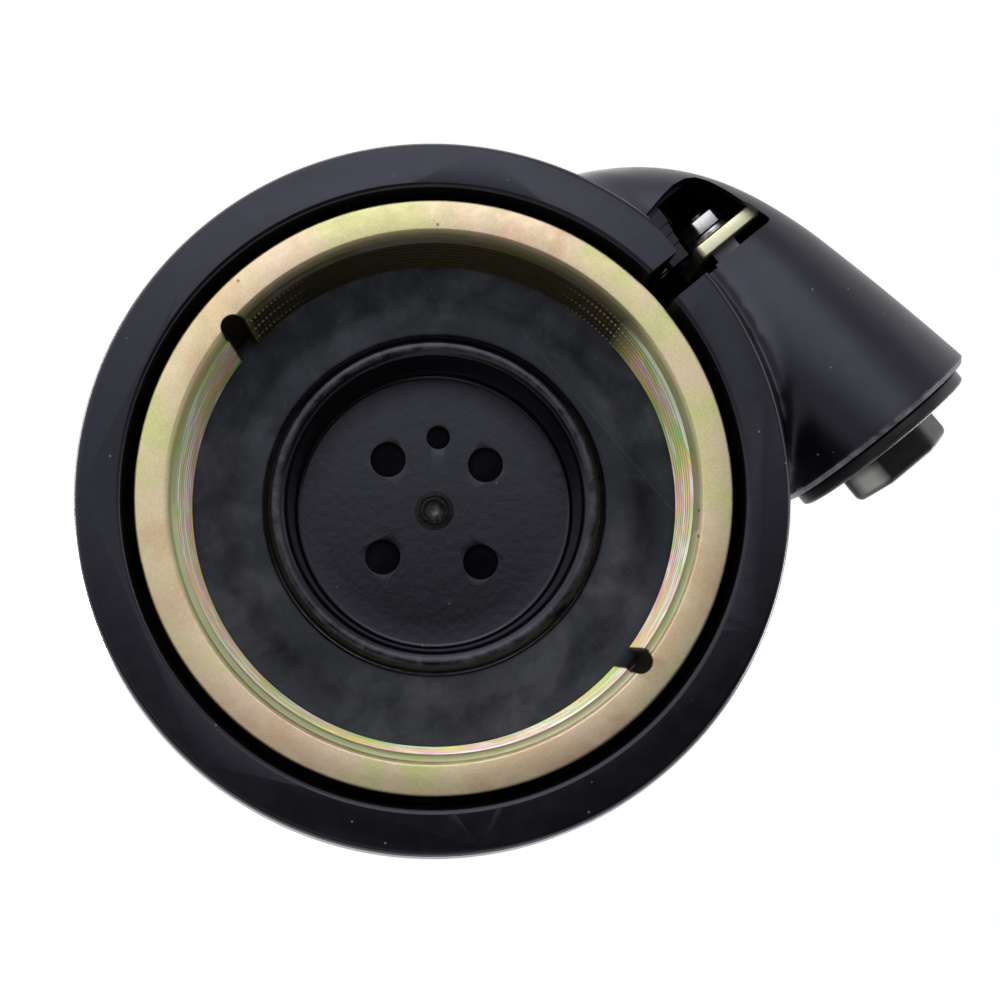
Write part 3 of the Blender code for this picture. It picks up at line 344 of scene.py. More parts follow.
def makePeel():
    # height of a sprayed or cast skin
    tree, given, result = newGroup("skinRelief", "Height", Broad_Scale=300.0, Fine_Scale=1500.0,
                                   Fine_Share=0.3)
    broad = texture(tree, "Noise", given["Vector"],
                    {"Scale": given["Broad Scale"], "Detail": 2.0, "Roughness": 0.5})
    fine = texture(tree, "Noise", given["Vector"],
                   {"Scale": given["Fine Scale"], "Detail": 3.0, "Roughness": 0.6})
    extra = times(tree, fine.outputs["Fac"], given["Fine Share"])
    wire(tree, (mathNode(tree, "ADD", broad.outputs["Fac"], extra), result))
    return tree


def makeScratches():
    # thin lines in two directions, 1 on a line
    tree, given, result = newGroup("scratches", "Mask", Scale=60.0, Width=0.012, Cover=0.45)
    found = None
    for turn in ((0.3, 0.5, 0.4), (1.1, 0.2, 1.9)):
        lay = addNode(tree, "ShaderNodeMapping", {"Rotation": turn, "Scale": (1.0, 0.08, 0.3)})
        wire(tree, (given["Vector"], lay.inputs["Vector"]))
        lines = texture(tree, "Voronoi", lay.outputs[0], {"Scale": given["Scale"]},
                        feature="DISTANCE_TO_EDGE")
        gate = texture(tree, "Noise", given["Vector"], {"Scale": 90.0, "Detail": 2.0})
        line = times(tree, mathNode(tree, "LESS_THAN", lines.outputs["Distance"], given["Width"]),
                     mathNode(tree, "LESS_THAN", gate.outputs["Fac"], given["Cover"]))
        found = line if found is None else mathNode(tree, "MAXIMUM", found, line)
    wire(tree, (found, result))
    return tree


def makeTurning():
    # rings left by the lathe: the radius and the place along the axis make them
    tree, given, result = newGroup("turningMarks", "Height", False, Radius=0.0, Along=0.0, Pitch=4000.0)
    joinUp = addNode(tree, "ShaderNodeCombineXYZ")
    wire(tree, (given["Radius"], joinUp.inputs[0]), (given["Along"], joinUp.inputs[2]))
    rings = texture(tree, "Noise", joinUp.outputs[0],
                    {"Scale": given["Pitch"], "Detail": 3.0, "Roughness": 0.7})
    wire(tree, (rings.outputs["Fac"], result))
    return tree


mottleGroup = makeMottle()
specksGroup = makeSpecks()
peelGroup = makePeel()
scratchGroup = makeScratches()
turningGroup = makeTurning()


def useGroup(tree, group, **values):
    # Broad_Scale stands for the input Broad Scale
    node = addNode(tree, "ShaderNodeGroup", node_tree=group)
    for name, value in values.items():
        feed(tree, value, node.inputs[name.replace("_", " ")])
    return node.outputs[0]


def mottle(tree, place, scale, contrast):
    return useGroup(tree, mottleGroup, Vector=place, Scale=scale, Contrast=contrast)


def specks(tree, place, scale, size, cover):
    return useGroup(tree, specksGroup, Vector=place, Scale=scale, Size=size, Cover=cover)


def skin(tree, place, broadScale, fineScale, fineShare):
    return useGroup(tree, peelGroup, Vector=place, Broad_Scale=broadScale, Fine_Scale=fineScale,
                    Fine_Share=fineShare)


def newMaterial(name, **constants):
    material = bpy.data.materials.new(name)
    material.use_nodes = True
    tree = material.node_tree
    shader = tree.nodes["Principled BSDF"]
    for label, value in constants.items():
        shader.inputs[label.replace("_", " ")].default_value = value
    return material, tree, shader, addNode(tree, "ShaderNodeTexCoord").outputs["Object"]


def finishShader(tree, shader, colour, rough, height, strength, distance):
    # strength and distance (in millimetres) are the bump's
    bump = addNode(tree, "ShaderNodeBump", {"Strength": strength, "Distance": distance * mm})
    wire(tree, (colour, shader.inputs["Base Color"]), (rough, shader.inputs["Roughness"]),
         (height, bump.inputs["Height"]), (bump.outputs["Normal"], shader.inputs["Normal"]))


print("helpers ready")


# Finishes: pairs of places, in metres, are where a mask starts and where it is full

lock = {"x": 63.2, "z": 19.2, "endY": 36.5, "endRadius": 18.6, "camY": -3.8}
lockCentre = (lock["x"] * mm, lock["z"] * mm)

paint = {"colour": (0.0030, 0.0030, 0.0046), "dusty": (0.0095, 0.0095, 0.0130), "speck": (0.30, 0.30, 0.32),
         "worn": (0.13, 0.13, 0.14), "tint": (0.78, 0.78, 1.0, 1.0), "crest": (0.01778, 0.01762),
         "endAlong": (0.0354, 0.0358), "endRadius": (0.0176, 0.0180), "endFrom": 0.0425,
         "lobeFrom": (0.0550, 0.0600)}


def makePaint(name, roughLow, roughHigh, cover, dust, peel, strength, bead):
    material, tree, shader, place = newMaterial(name, Specular_IOR_Level=0.56, Specular_Tint=paint["tint"])
    film = mottle(tree, place, 260.0, 0.3)
    veil = times(tree, mottle(tree, place, 55.0, 0.22), film, dust)
    colour = mixColour(tree, veil, paint["colour"], paint["dusty"])
    colour = mixColour(tree, specks(tree, place, 620.0, 0.11, cover), colour, paint["speck"], 0.5)
    rough = rangeNode(tree, film, 0.0, 1.0, roughLow, roughHigh)
    if bead:
        # the crest of the cup's bead is worn
        edge = rangeNode(tree, axisRadius(tree, place)[1], *paint["crest"], 0.0, 0.45)
    else:
        # the edge of the lobe's end gets a light line, painted highlight together with wear, and the coat is
        # duller on the lobe
        radius, along = axisRadius(tree, place, lockCentre, "XZ")
        x = splitPlace(tree, place)[0]
        edge = times(tree, rangeNode(tree, along, *paint["endAlong"]),
                     rangeNode(tree, radius, *paint["endRadius"]),
                     mathNode(tree, "GREATER_THAN", x, paint["endFrom"]))
        rough = mathNode(tree, "ADD", rough, rangeNode(tree, x, *paint["lobeFrom"], 0.0, 0.10))
    colour = mixColour(tree, times(tree, edge, mottle(tree, place, 330.0, 0.12)), colour, paint["worn"])
    finishShader(tree, shader, colour, rough, skin(tree, place, *peel), strength, 0.04)
    return material


castPaint = makePaint("castPaint", 0.20, 0.30, 0.10, 0.5, (420.0, 1900.0, 0.35), 0.4, bead=False)
cupPaint = makePaint("cupPaint", 0.14, 0.24, 0.04, 0.35, (700.0, 2400.0, 0.25), 0.6, bead=True)

zinc = {"straw": (0.96, 0.80, 0.54), "sand": (1.0, 0.76, 0.60), "green": (0.52, 0.78, 0.30),
        "moss": (0.42, 0.43, 0.22), "lime": (0.80, 0.82, 0.36), "amber": (0.86, 0.56, 0.38),
        "rose": (0.95, 0.56, 0.62), "gold": (0.92, 0.78, 0.24), "white": (0.95, 0.94, 0.86),
        "olive": (0.045, 0.040, 0.020), "dark": (0.16, 0.13, 0.06), "notchDark": (0.02, 0.016, 0.008),
        "pale": (0.95, 0.96, 0.70),
        "bands": ((0.39, "white"), (0.44, "green"), (0.49, "gold"), (0.53, "rose"), (0.58, "white"),
                  (0.63, "rose"), (0.67, "green")),
        "inThread": (0.0402, 0.0399), "chamfer": (0.0031, 0.0029),
        "shadeWay": (0.6383, -0.7698, 0.0), "shadeSide": (0.0225, 0.0270), "shadeRadius": (0.0406, 0.0403),
        "shadeHeight": (0.001, 0.004), "thinSide": (0.034, 0.026), "chatterFrom": 0.0036,
        "notch": (0.00756, 0.03887), "notchRadius": (0.00225, 0.00205), "notchHeight": (0.0008, 0.0020)}


def filmBands(tree, place):
    # the film on the thread shows bands of rose, gold and green
    lay = addNode(tree, "ShaderNodeMapping", {"Scale": (0.4, 0.4, 4.0)})
    wire(tree, (place, lay.inputs["Vector"]))
    film = texture(tree, "Noise", lay.outputs[0], {"Scale": 70.0, "Detail": 3.0, "Distortion": 0.8})
    bands = addNode(tree, "ShaderNodeValToRGB")
    stops = bands.color_ramp.elements
    for stop, spot, shade in ((stops[0], 0.30, "green"), (stops[1], 0.72, "white")):
        stop.position = spot
        stop.color = (*zinc[shade], 1.0)
    for spot, shade in zinc["bands"]:
        stops.new(spot).color = (*zinc[shade], 1.0)
    wire(tree, (film.outputs["Fac"], bands.inputs["Fac"]))
    return bands.outputs["Color"]


def threadColour(tree, place, colour, radius, height):
    inThread = rangeNode(tree, radius, *zinc["inThread"])
    colour = mixColour(tree, inThread, colour, filmBands(tree, place))
    chamfer = times(tree, inThread, rangeNode(tree, height, *zinc["chamfer"], 0.0, 0.85))
    colour = mixColour(tree, chamfer, colour, zinc["moss"])
    # painted shade darkens the thread to olive on one side, where its wall mirrors the dim part of the room
    side = vectorNode(tree, "DOT_PRODUCT", place, zinc["shadeWay"])
    stainAndShade = times(tree, rangeNode(tree, side, *zinc["shadeSide"]),
                  rangeNode(tree, radius, *zinc["shadeRadius"]),
                  rangeNode(tree, height, *zinc["shadeHeight"], 0.6, 1.0))
    colour = mixColour(tree, stainAndShade, colour, zinc["olive"])
    # where the painted shade is thinner, the chatter marks of the tool show through
    parts = splitPlace(tree, place)
    angle = mathNode(tree, "ARCTAN2", parts[1], parts[0])
    chatter = mathNode(tree, "SINE", times(tree, angle, 300.0))
    steps = mathNode(tree, "SINE", times(tree, height, 5200.0))
    weave = times(tree, rangeNode(tree, chatter, 0.0, 0.6), rangeNode(tree, steps, 0.0, 0.6))
    thin = times(tree, stainAndShade, rangeNode(tree, side, *zinc["thinSide"], 0.0, 0.5),
                 mathNode(tree, "GREATER_THAN", height, zinc["chatterFrom"]))
    colour = mixColour(tree, times(tree, weave, thin), colour, zinc["sand"])
    # and the two notches are darkened almost to black further in
    for sign in (1, -1):
        notch = axisRadius(tree, place, (sign * zinc["notch"][0], sign * zinc["notch"][1]))[0]
        deep = times(tree, rangeNode(tree, notch, *zinc["notchRadius"]),
                     rangeNode(tree, height, *zinc["notchHeight"], 0.0, 0.96))
        colour = mixColour(tree, deep, colour, zinc["notchDark"])
    return colour


def makeZinc(name, thread=False, pale=0.0):
    material, tree, shader, place = newMaterial(name, Metallic=1.0)
    radius, height = axisRadius(tree, place)
    patches = mottle(tree, vectorNode(tree, "ADD", place, (0.53, 0.19, 0.0)), 38.0, 0.13)
    small = mottle(tree, place, 420.0, 0.2)
    colour = mixColour(tree, mottle(tree, place, 46.0, 0.10), zinc["straw"], zinc["sand"])
    colour = mixColour(tree, rangeNode(tree, patches, 0.52, 0.85, 0.0, 0.8), colour, zinc["lime"])
    colour = mixColour(tree, rangeNode(tree, patches, 0.36, 0.05, 0.0, 0.6), colour, zinc["amber"])
    colour = mixColour(tree, small, colour, zinc["green"], 0.16)
    colour = mixColour(tree, mottle(tree, place, 2600.0, 0.3), colour, zinc["dark"], 0.28)
    # pale lays a paler colour over the zinc: painted light where it is used
    if pale:
        colour = mixColour(tree, pale, colour, zinc["pale"])
    if thread:
        colour = threadColour(tree, place, colour, radius, height)
    colour = mixColour(tree, specks(tree, place, 380.0, 0.10, 0.07), colour, zinc["dark"], 0.7)
    nicks = specks(tree, vectorNode(tree, "ADD", place, (0.0, 0.13, 0.05)), 230.0, 0.07, 0.06)
    colour = mixColour(tree, nicks, colour, zinc["white"])
    rings = useGroup(tree, turningGroup, Radius=radius, Along=height, Pitch=5200.0)
    relief = mathNode(tree, "ADD", times(tree, rings, 0.6), skin(tree, place, 900.0, 3200.0, 0.6))
    finishShader(tree, shader, colour, rangeNode(tree, small, 0.0, 1.0, 0.42, 0.54), relief, 0.6, 0.03)
    return material


ringZinc = makeZinc("ringZinc", thread=True)
# the cam's zinc is greener than the ring's, its own tone, and paler as painted light that brightens it
camZinc = makeZinc("camZinc", pale=0.8)

rubber = {"tint": (0.80, 0.86, 1.0, 1.0), "base": (0.006, 0.007, 0.012), "smudge": (0.085, 0.089, 0.106),
          "stainAndShade": (0.006, 0.007, 0.010), "mark": (0.075, 0.077, 0.075), "dust": (0.20, 0.20, 0.19)}


def makeRubber(name, light, specular):
    # light scales how bright the rubber's colours are and how worn and dusty it looks
    material, tree, shader, place = newMaterial(name, Specular_IOR_Level=specular,
                                                Specular_Tint=rubber["tint"])
    base, worn, stainAndShade = (tuple(part * light for part in rubber[key]) for key in ("base", "smudge", "stainAndShade"))
    smudge = mottle(tree, place, 52.0, 0.13)
    stains = mottle(tree, vectorNode(tree, "ADD", place, (0.2, 0.4, 0.0)), 150.0, 0.10)
    marks = useGroup(tree, scratchGroup, Vector=place, Scale=34.0, Width=0.0035, Cover=0.46)
    colour = mixColour(tree, smudge, base, worn)
    colour = mixColour(tree, stains, colour, stainAndShade, 0.55)
    colour = mixColour(tree, marks, colour, rubber["mark"], 0.4 * light)
    colour = mixColour(tree, specks(tree, place, 700.0, 0.10, 0.12), colour, rubber["dust"], 0.4 * light)
    relief = mathNode(tree, "ADD", mottle(tree, place, 380.0, 0.3), times(tree, smudge, 0.6))
    finishShader(tree, shader, colour, rangeNode(tree, smudge, 0.0, 1.0, 0.38, 0.62), relief, 0.35, 0.04)
    return material


gasketRubber = makeRubber("gasketRubber", 1.0, 0.45)
# the valve seal is made almost black: painted shade, so that the cup's holes look deep
valveRubber = makeRubber("valveRubber", 0.12, 0.04)

metal = {  # light and dark colour, least and most roughness
    "steel": ((0.58, 0.58, 0.60), (0.34, 0.34, 0.36), 0.24, 0.42),
    "lockSteel": ((0.66, 0.66, 0.68), (0.40, 0.40, 0.43), 0.20, 0.36),
    "rotor": ((0.13, 0.13, 0.14), (0.05, 0.05, 0.055), 0.30, 0.45),
    "spring": ((0.05, 0.05, 0.055), (0.02, 0.02, 0.022), 0.35, 0.5),
    "brass": ((0.72, 0.54, 0.26), (0.50, 0.36, 0.16), 0.22, 0.38),
}


def makeTurnedMetal(name, kind, onLock=False):
    light, dark, roughLow, roughHigh = metal[kind]
    material, tree, shader, place = newMaterial(name, Metallic=1.0)
    radius, along = axisRadius(tree, place, lockCentre, "XZ") if onLock else axisRadius(tree, place)
    cloud = mottle(tree, place, 240.0, 0.25)
    marks = useGroup(tree, scratchGroup, Vector=place, Scale=80.0, Width=0.010, Cover=0.45)
    colour = mixColour(tree, marks, mixColour(tree, cloud, light, dark), dark, 0.4)
    rough = rangeNode(tree, cloud, 0.0, 1.0, roughLow, roughHigh)
    rings = useGroup(tree, turningGroup, Radius=radius, Along=along, Pitch=6500.0)
    finishShader(tree, shader, colour, rough, rings, 0.4, 0.02)
    return material


turnedSteel = makeTurnedMetal("turnedSteel", "steel")
lockSteel = makeTurnedMetal("lockSteel", "lockSteel", onLock=True)
rotorSteel = makeTurnedMetal("rotorSteel", "rotor", onLock=True)
springSteel = makeTurnedMetal("springSteel", "spring")
turnedBrass = makeTurnedMetal("turnedBrass", "brass")
lockBrass = makeTurnedMetal("lockBrass", "brass", onLock=True)

nylon = {"dark": (0.0085, 0.0085, 0.0105), "light": (0.018, 0.018, 0.020), "dust": (0.30, 0.30, 0.30),
         "glareColour": (0.62, 0.62, 0.57), "glareX": (0.0584, 0.0566), "glareY": (0.0394, 0.0410),
         "glareZ": (0.0190, 0.0165), "glareEnd": (0.0437, 0.0431), "wornEdgeHighlight": (0.09, 0.09, 0.09),
         "discRadius": (0.0155, 0.0158), "discFace": (0.0384, 0.0387)}


def makeNylon():
    material, tree, shader, place = newMaterial("coverNylon", Specular_IOR_Level=0.36)
    cloud = mottle(tree, place, 150.0, 0.25)
    colour = mixColour(tree, cloud, nylon["dark"], nylon["light"])
    colour = mixColour(tree, specks(tree, place, 640.0, 0.10, 0.08), colour, nylon["dust"], 0.5)
    # painted reflection: one flat of the grip is made light grey, as a glossy flat mirroring the pale floor
    # looks; and a light line is painted on the disc's edge, partly highlight and partly wear
    x, y, z = splitPlace(tree, place)
    paintedGlare = times(tree, rangeNode(tree, x, *nylon["glareX"]), rangeNode(tree, y, *nylon["glareY"]),
                  rangeNode(tree, z, *nylon["glareZ"], 0.0, 0.95), rangeNode(tree, y, *nylon["glareEnd"]))
    colour = mixColour(tree, paintedGlare, colour, nylon["glareColour"])
    # painted highlight along the disc's edge, together with some wear
    radius, along = axisRadius(tree, place, lockCentre, "XZ")
    edge = times(tree, rangeNode(tree, radius, *nylon["discRadius"]),
                 rangeNode(tree, along, *nylon["discFace"]), mottle(tree, place, 330.0, 0.12))
    colour = mixColour(tree, edge, colour, nylon["wornEdgeHighlight"])
    finishShader(tree, shader, colour, rangeNode(tree, cloud, 0.0, 1.0, 0.30, 0.44),
                 skin(tree, place, 900.0, 3800.0, 0.8), 0.4, 0.03)
    return material


felt = {"dark": (0.20, 0.17, 0.12), "light": (0.48, 0.43, 0.32), "cloud": (0.16, 0.13, 0.09)}


def makeFelt():
    material, tree, shader, place = newMaterial("filterFelt", Sheen_Weight=0.35)
    fibres = texture(tree, "Noise", place, {"Scale": 2600.0, "Detail": 4.0, "Distortion": 1.6}).outputs["Fac"]
    colour = mixColour(tree, fibres, felt["dark"], felt["light"])
    colour = mixColour(tree, mottle(tree, place, 180.0, 0.3), colour, felt["cloud"], 0.4)
    finishShader(tree, shader, colour, rangeNode(tree, fibres, 0.0, 1.0, 0.85, 1.0), fibres, 0.8, 0.15)
    return material


rivet = {"bare": (0.30, 0.30, 0.32), "dirt": (0.03, 0.03, 0.035), "hollow": (0.0021, 0.0013),
         "above": (0.0347, 0.0353)}


def makeRivetFinish():
    # paint over the flare, worn to bare metal in the hollow; plain metal above the cup
    material, tree, shader, place = newMaterial("rivetFinish")
    radius, height = axisRadius(tree, place)
    cloud = mottle(tree, place, 900.0, 0.2)
    reach = mathNode(tree, "ADD", radius, times(tree, cloud, 0.0009))
    bare = mathNode(tree, "MAXIMUM", rangeNode(tree, reach, *rivet["hollow"]),
                    rangeNode(tree, height, *rivet["above"]))
    colour = mixColour(tree, bare, paint["colour"], rivet["bare"])
    colour = mixColour(tree, cloud, colour, rivet["dirt"], 0.6)
    wire(tree, (bare, shader.inputs["Metallic"]))
    finishShader(tree, shader, colour, rangeNode(tree, cloud, 0.0, 1.0, 0.4, 0.6),
                 skin(tree, place, 1400.0, 4000.0, 0.5), 0.7, 0.08)
    return material


coverNylon = makeNylon()
filterFelt = makeFelt()
rivetFinish = makeRivetFinish()
print("finishes ready")

finishNodes = (
    (ringZinc, ["threaded_ring"]),
    (camZinc, ["lock_cam"] + [f"ring_screw_{i + 1}" for i in range(6)]),
    (turnedSteel, ["carrier_plate", "pivot_post", "spacer_sleeve", "valve_spring", "valve_plate"]),
    (gasketRubber, ["seal_gasket", "cover_seal"]), (valveRubber, ["valve_seal"]),
    (filterFelt, ["filter_element"]), (coverNylon, ["dust_cover"]),
    (castPaint, ["cap_shell"]), (cupPaint, ["breather_cup"]),
    (springSteel, ["retaining_ring"]), (turnedBrass, ["thrust_washer", "pivot_bush"]),
    (lockBrass, ["lock_barrel"] + [f"wafer_{i + 1}" for i in range(5)]), (rotorSteel, ["lock_rotor"]),
    (lockSteel, ["barrel_screw", "rotor_clip", "cam_washer", "cam_nut"]),
)
for finish, names in finishNodes:
    for name in names:
        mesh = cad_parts[name].data
        mesh.materials.clear()
        mesh.materials.append(finish)


# Camera, floor and light

view = {"lens": 57.27, "sensor": 36.0, "distance": 237.9,
        "axis": (-0.0506, 0.0856, 1.0),  # the cap's axis as the camera sees it: right, down, forward
        "centre": (-0.0400, -0.0044, 1.0),  # where the camera sees the middle of the rim
        "right": (0.7698, -0.6383, 0.0)}  # the row's x as the camera sees it


def makeCamera():
    deselectAll()
    bpy.ops.object.camera_add()
    camera = bpy.context.object
    camera.name = "photoCamera"
    camera.data.lens = view["lens"]
    camera.data.sensor_width = view["sensor"]
    camera.data.clip_start = 0.001
    camera.data.clip_end = 50.0
    seenZ = Vector(view["axis"]).normalized()
    seenX = Vector(view["right"])
    seenX = (seenX - seenX.dot(seenZ) * seenZ).normalized()
    seenY = seenZ.cross(seenX)
    seen = Matrix((seenX, seenY, seenZ)).transposed()  # columns: the row's axes as the camera sees them
    right, down, ahead = seen
    turn = Matrix((right, -down, -ahead)).transposed()
    centre = Vector(view["centre"]) * view["distance"] * mm / Vector(view["centre"]).z
    camera.matrix_world = Matrix.Translation(-(seen.transposed() @ centre)) @ turn.to_4x4()
    bpy.context.scene.camera = camera


def makeFloor():
    # plain floor under the rim: seen from above only, so that the open side can be looked at from below
    deselectAll()
    bpy.ops.mesh.primitive_plane_add(size=6.0, location=(0, 0, -0.02 * mm))
    floor = bpy.context.object
    floor.name = "floor"
    for ray in ("diffuse", "glossy", "transmission", "shadow"):
        setattr(floor, "visible_" + ray, False)
    material, tree, shader, place = newMaterial("floorPaper", Roughness=0.9)
    colour = mixColour(tree, mottle(tree, place, 6.0, 0.4), (0.80, 0.80, 0.80), (0.83, 0.83, 0.83))
    wire(tree, (colour, shader.inputs["Base Color"]))
    through = addNode(tree, "ShaderNodeBsdfTransparent")
    facing = addNode(tree, "ShaderNodeNewGeometry")
    mix = addNode(tree, "ShaderNodeMixShader")
    outlet = tree.nodes["Material Output"]
    wire(tree, (facing.outputs["Backfacing"], mix.inputs[0]), (shader.outputs[0], mix.inputs[1]),
         (through.outputs[0], mix.inputs[2]), (mix.outputs[0], outlet.inputs["Surface"]))
    floor.data.materials.append(material)


lamps = [  # name, place, aim, size and power
    ("lowKey", (0.34, -0.45, -0.9), (0.0, 0.0, 0.0), 0.7, 1.1),
    ("sideFill", (0.75, 0.30, -0.10), (0.04, 0.0, 0.0), 0.5, 0.6),
    ("topSoft", (-0.35, -0.45, 0.9), (0.0, 0.0, 0.02), 0.6, 9.0),
    ("backRim", (0.5, 0.7, 0.55), (0.03, 0.0, 0.02), 0.4, 4.0),
]


def makeLamps():
    for name, place, aim, size, power in lamps:
        deselectAll()
        bpy.ops.object.light_add(type="AREA", location=place)
        lamp = bpy.context.object
        lamp.name = name
        lamp.data.shape = "DISK"
        lamp.data.size = size
        lamp.data.energy = power
        lamp.rotation_euler = (Vector(aim) - Vector(place)).to_track_quat("-Z", "Y").to_euler()


room = {  # what shiny faces reflect, by direction
    "up": (0.6383, -0.7698, 0.30), "right": (0.7698, 0.6383, 0.0), "soft": 0.55,
    "low": (-0.35, -0.15, 0.05, 1.0), "rightSide": (0.19, 0.34, 1.0, 0.50),
    "above": (0.12, 0.40, 0.0, 0.4), "aboveLeft": (0.05, 0.25, 1.0, 0.0),
    "stripNear": (-0.30, -0.38, 0.0, 0.52), "stripFar": (-0.74, -0.60, 0.0, 1.0),
    "horizon": (-0.42, -0.16, 0.0, 0.95),
}


def reflectedLevel(tree):
    # dimmer below and to the right of the picture, as the room behind the camera was, and brighter above it
    place = addNode(tree, "ShaderNodeTexCoord").outputs["Generated"]
    up = vectorNode(tree, "DOT_PRODUCT", place, room["up"])
    right = vectorNode(tree, "DOT_PRODUCT", place, room["right"])
    parts = splitPlace(tree, place)
    low = rangeNode(tree, up, *room["low"])
    low.node.interpolation_type = "SMOOTHSTEP"
    above = times(tree, rangeNode(tree, up, *room["above"]), rangeNode(tree, right, *room["aboveLeft"]))
    level = mathNode(tree, "ADD", times(tree, low, rangeNode(tree, right, *room["rightSide"])), above)
    # a strip light on the far side draws the streak along the lobe's valley
    strip = times(tree, rangeNode(tree, parts[0], *room["stripNear"]),
                  rangeNode(tree, parts[0], *room["stripFar"]))
    horizon = rangeNode(tree, parts[2], *room["horizon"])
    horizon.node.interpolation_type = "SMOOTHSTEP"
    return mathNode(tree, "MAXIMUM", mathNode(tree, "MAXIMUM", level, strip), horizon)


def makeWorld():
    # white to the camera, soft light for the shading, and the room in reflections
    world = bpy.context.scene.world or bpy.data.worlds.new("studio")
    bpy.context.scene.world = world
    world.use_nodes = True
    tree = world.node_tree
    soft = tree.nodes["Background"]
    soft.inputs["Color"].default_value = (1.0, 1.0, 1.0, 1.0)
    soft.inputs["Strength"].default_value = room["soft"]
    white = addNode(tree, "ShaderNodeBackground", {"Color": (1.0, 1.0, 1.0, 1.0), "Strength": 1.0})
    glossy = addNode(tree, "ShaderNodeBackground", {"Color": (1.0, 1.0, 1.0, 1.0)})
    rays = addNode(tree, "ShaderNodeLightPath")
    seen = mathNode(tree, "MAXIMUM", rays.outputs["Is Camera Ray"], rays.outputs["Is Transmission Ray"])
    light, result = addNode(tree, "ShaderNodeMixShader"), addNode(tree, "ShaderNodeMixShader")
    wire(tree, (reflectedLevel(tree), glossy.inputs["Strength"]),
         (rays.outputs["Is Glossy Ray"], light.inputs[0]), (soft.outputs[0], light.inputs[1]),
         (glossy.outputs[0], light.inputs[2]), (seen, result.inputs[0]), (light.outputs[0], result.inputs[1]),
         (white.outputs[0], result.inputs[2]),
         (result.outputs[0], tree.nodes["World Output"].inputs["Surface"]))


makeCamera()
makeFloor()
makeLamps()
makeWorld()
bpy.context.scene.view_settings.view_transform = "Standard"
print("camera, floor and light ready")


# The cast shell with its lobe

shell = {"skirtRadius": 54.8, "skirtFull": 6.0, "skirtLean": 0.21, "shoulderHeight": 36.0,
         "shoulderWidth": 12.0, "domeRise": 2.6, "crown": 54.0, "crownGroove": (30.0, 53.4, 1.3, 1.3),
         "below": -3.0, "steps": 160, "voxel": 0.75,
         "fillet": 36, "filletReach": 5.5, "filletX": 20, "filletY": (-45, 50), "filletZ": (2.5, 43.5),
         "rimCorner": 52.75, "rimCornerEdge": 0.9, "rimInner": 46.8, "rimEdge": 0.7, "step": 26.1,
         "grooveRadius": 48.6, "grooveLow": 21.3, "grooveHigh": 23.3, "cavity": 44.0, "ceiling": 49.7,
         "vaultWidth": 12.0, "vaultRise": 8.0, "hub": (9.5, 38.7), "bush": (5.9, 42.2)}

# lobe: y, outer x, inner x, low z, top z, and the x and z of the widest level
lobeStations = [
    (-34.0, 41.3, 33.0, 25.0, 32.5, 38.5, 28.5),
    (-29.0, 52.2, 32.0, 18.0, 37.0, 45.0, 26.5),
    (-23.0, 61.2, 32.0, 13.6, 39.8, 52.0, 24.5),
    (-16.0, 67.4, 33.0, 10.8, 41.5, 58.0, 21.8),
    (-8.0, 71.8, 35.0, 9.2, 42.3, 62.0, 19.8),
    (2.0, 75.4, 38.0, 7.6, 42.0, 63.2, 19.2),
    (12.0, 77.6, 41.0, 5.2, 41.2, 63.2, 19.2),
    (24.0, 79.8, 43.6, 2.8, 39.6, 63.2, 19.2),
    (36.5, 81.8, 44.6, 0.6, 37.8, 63.2, 19.2),
]


def lobeAt(y):
    # the station's values at y, on a smooth curve through the stations
    rows = lobeStations
    at = max(i for i in range(len(rows) - 1) if rows[i][0] <= max(y, rows[0][0]) + 0.001)
    near = [rows[max(0, min(len(rows) - 1, at + k))] for k in (-1, 0, 1, 2)]
    span = near[2][0] - near[1][0]
    t = (y - near[1][0]) / span
    values = []
    for column in range(1, 7):
        a, b, c, d = (row[column] for row in near)
        slopeB = (c - a) / (near[2][0] - near[0][0]) * span
        slopeC = (d - b) / (near[3][0] - near[1][0]) * span
        values.append((2 * t**3 - 3 * t**2 + 1) * b + (t**3 - 2 * t**2 + t) * slopeB
                      + (-2 * t**3 + 3 * t**2) * c + (t**3 - t**2) * slopeC)
    return values


def selectVerts(piece, indices):
    bpy.ops.mesh.select_all(action="DESELECT")
    shape = bmesh.from_edit_mesh(piece.data)
    shape.verts.ensure_lookup_table()
    for i in indices:
        shape.verts[i].select_set(True)
    shape.select_flush(True)
    bmesh.update_edit_mesh(piece.data)


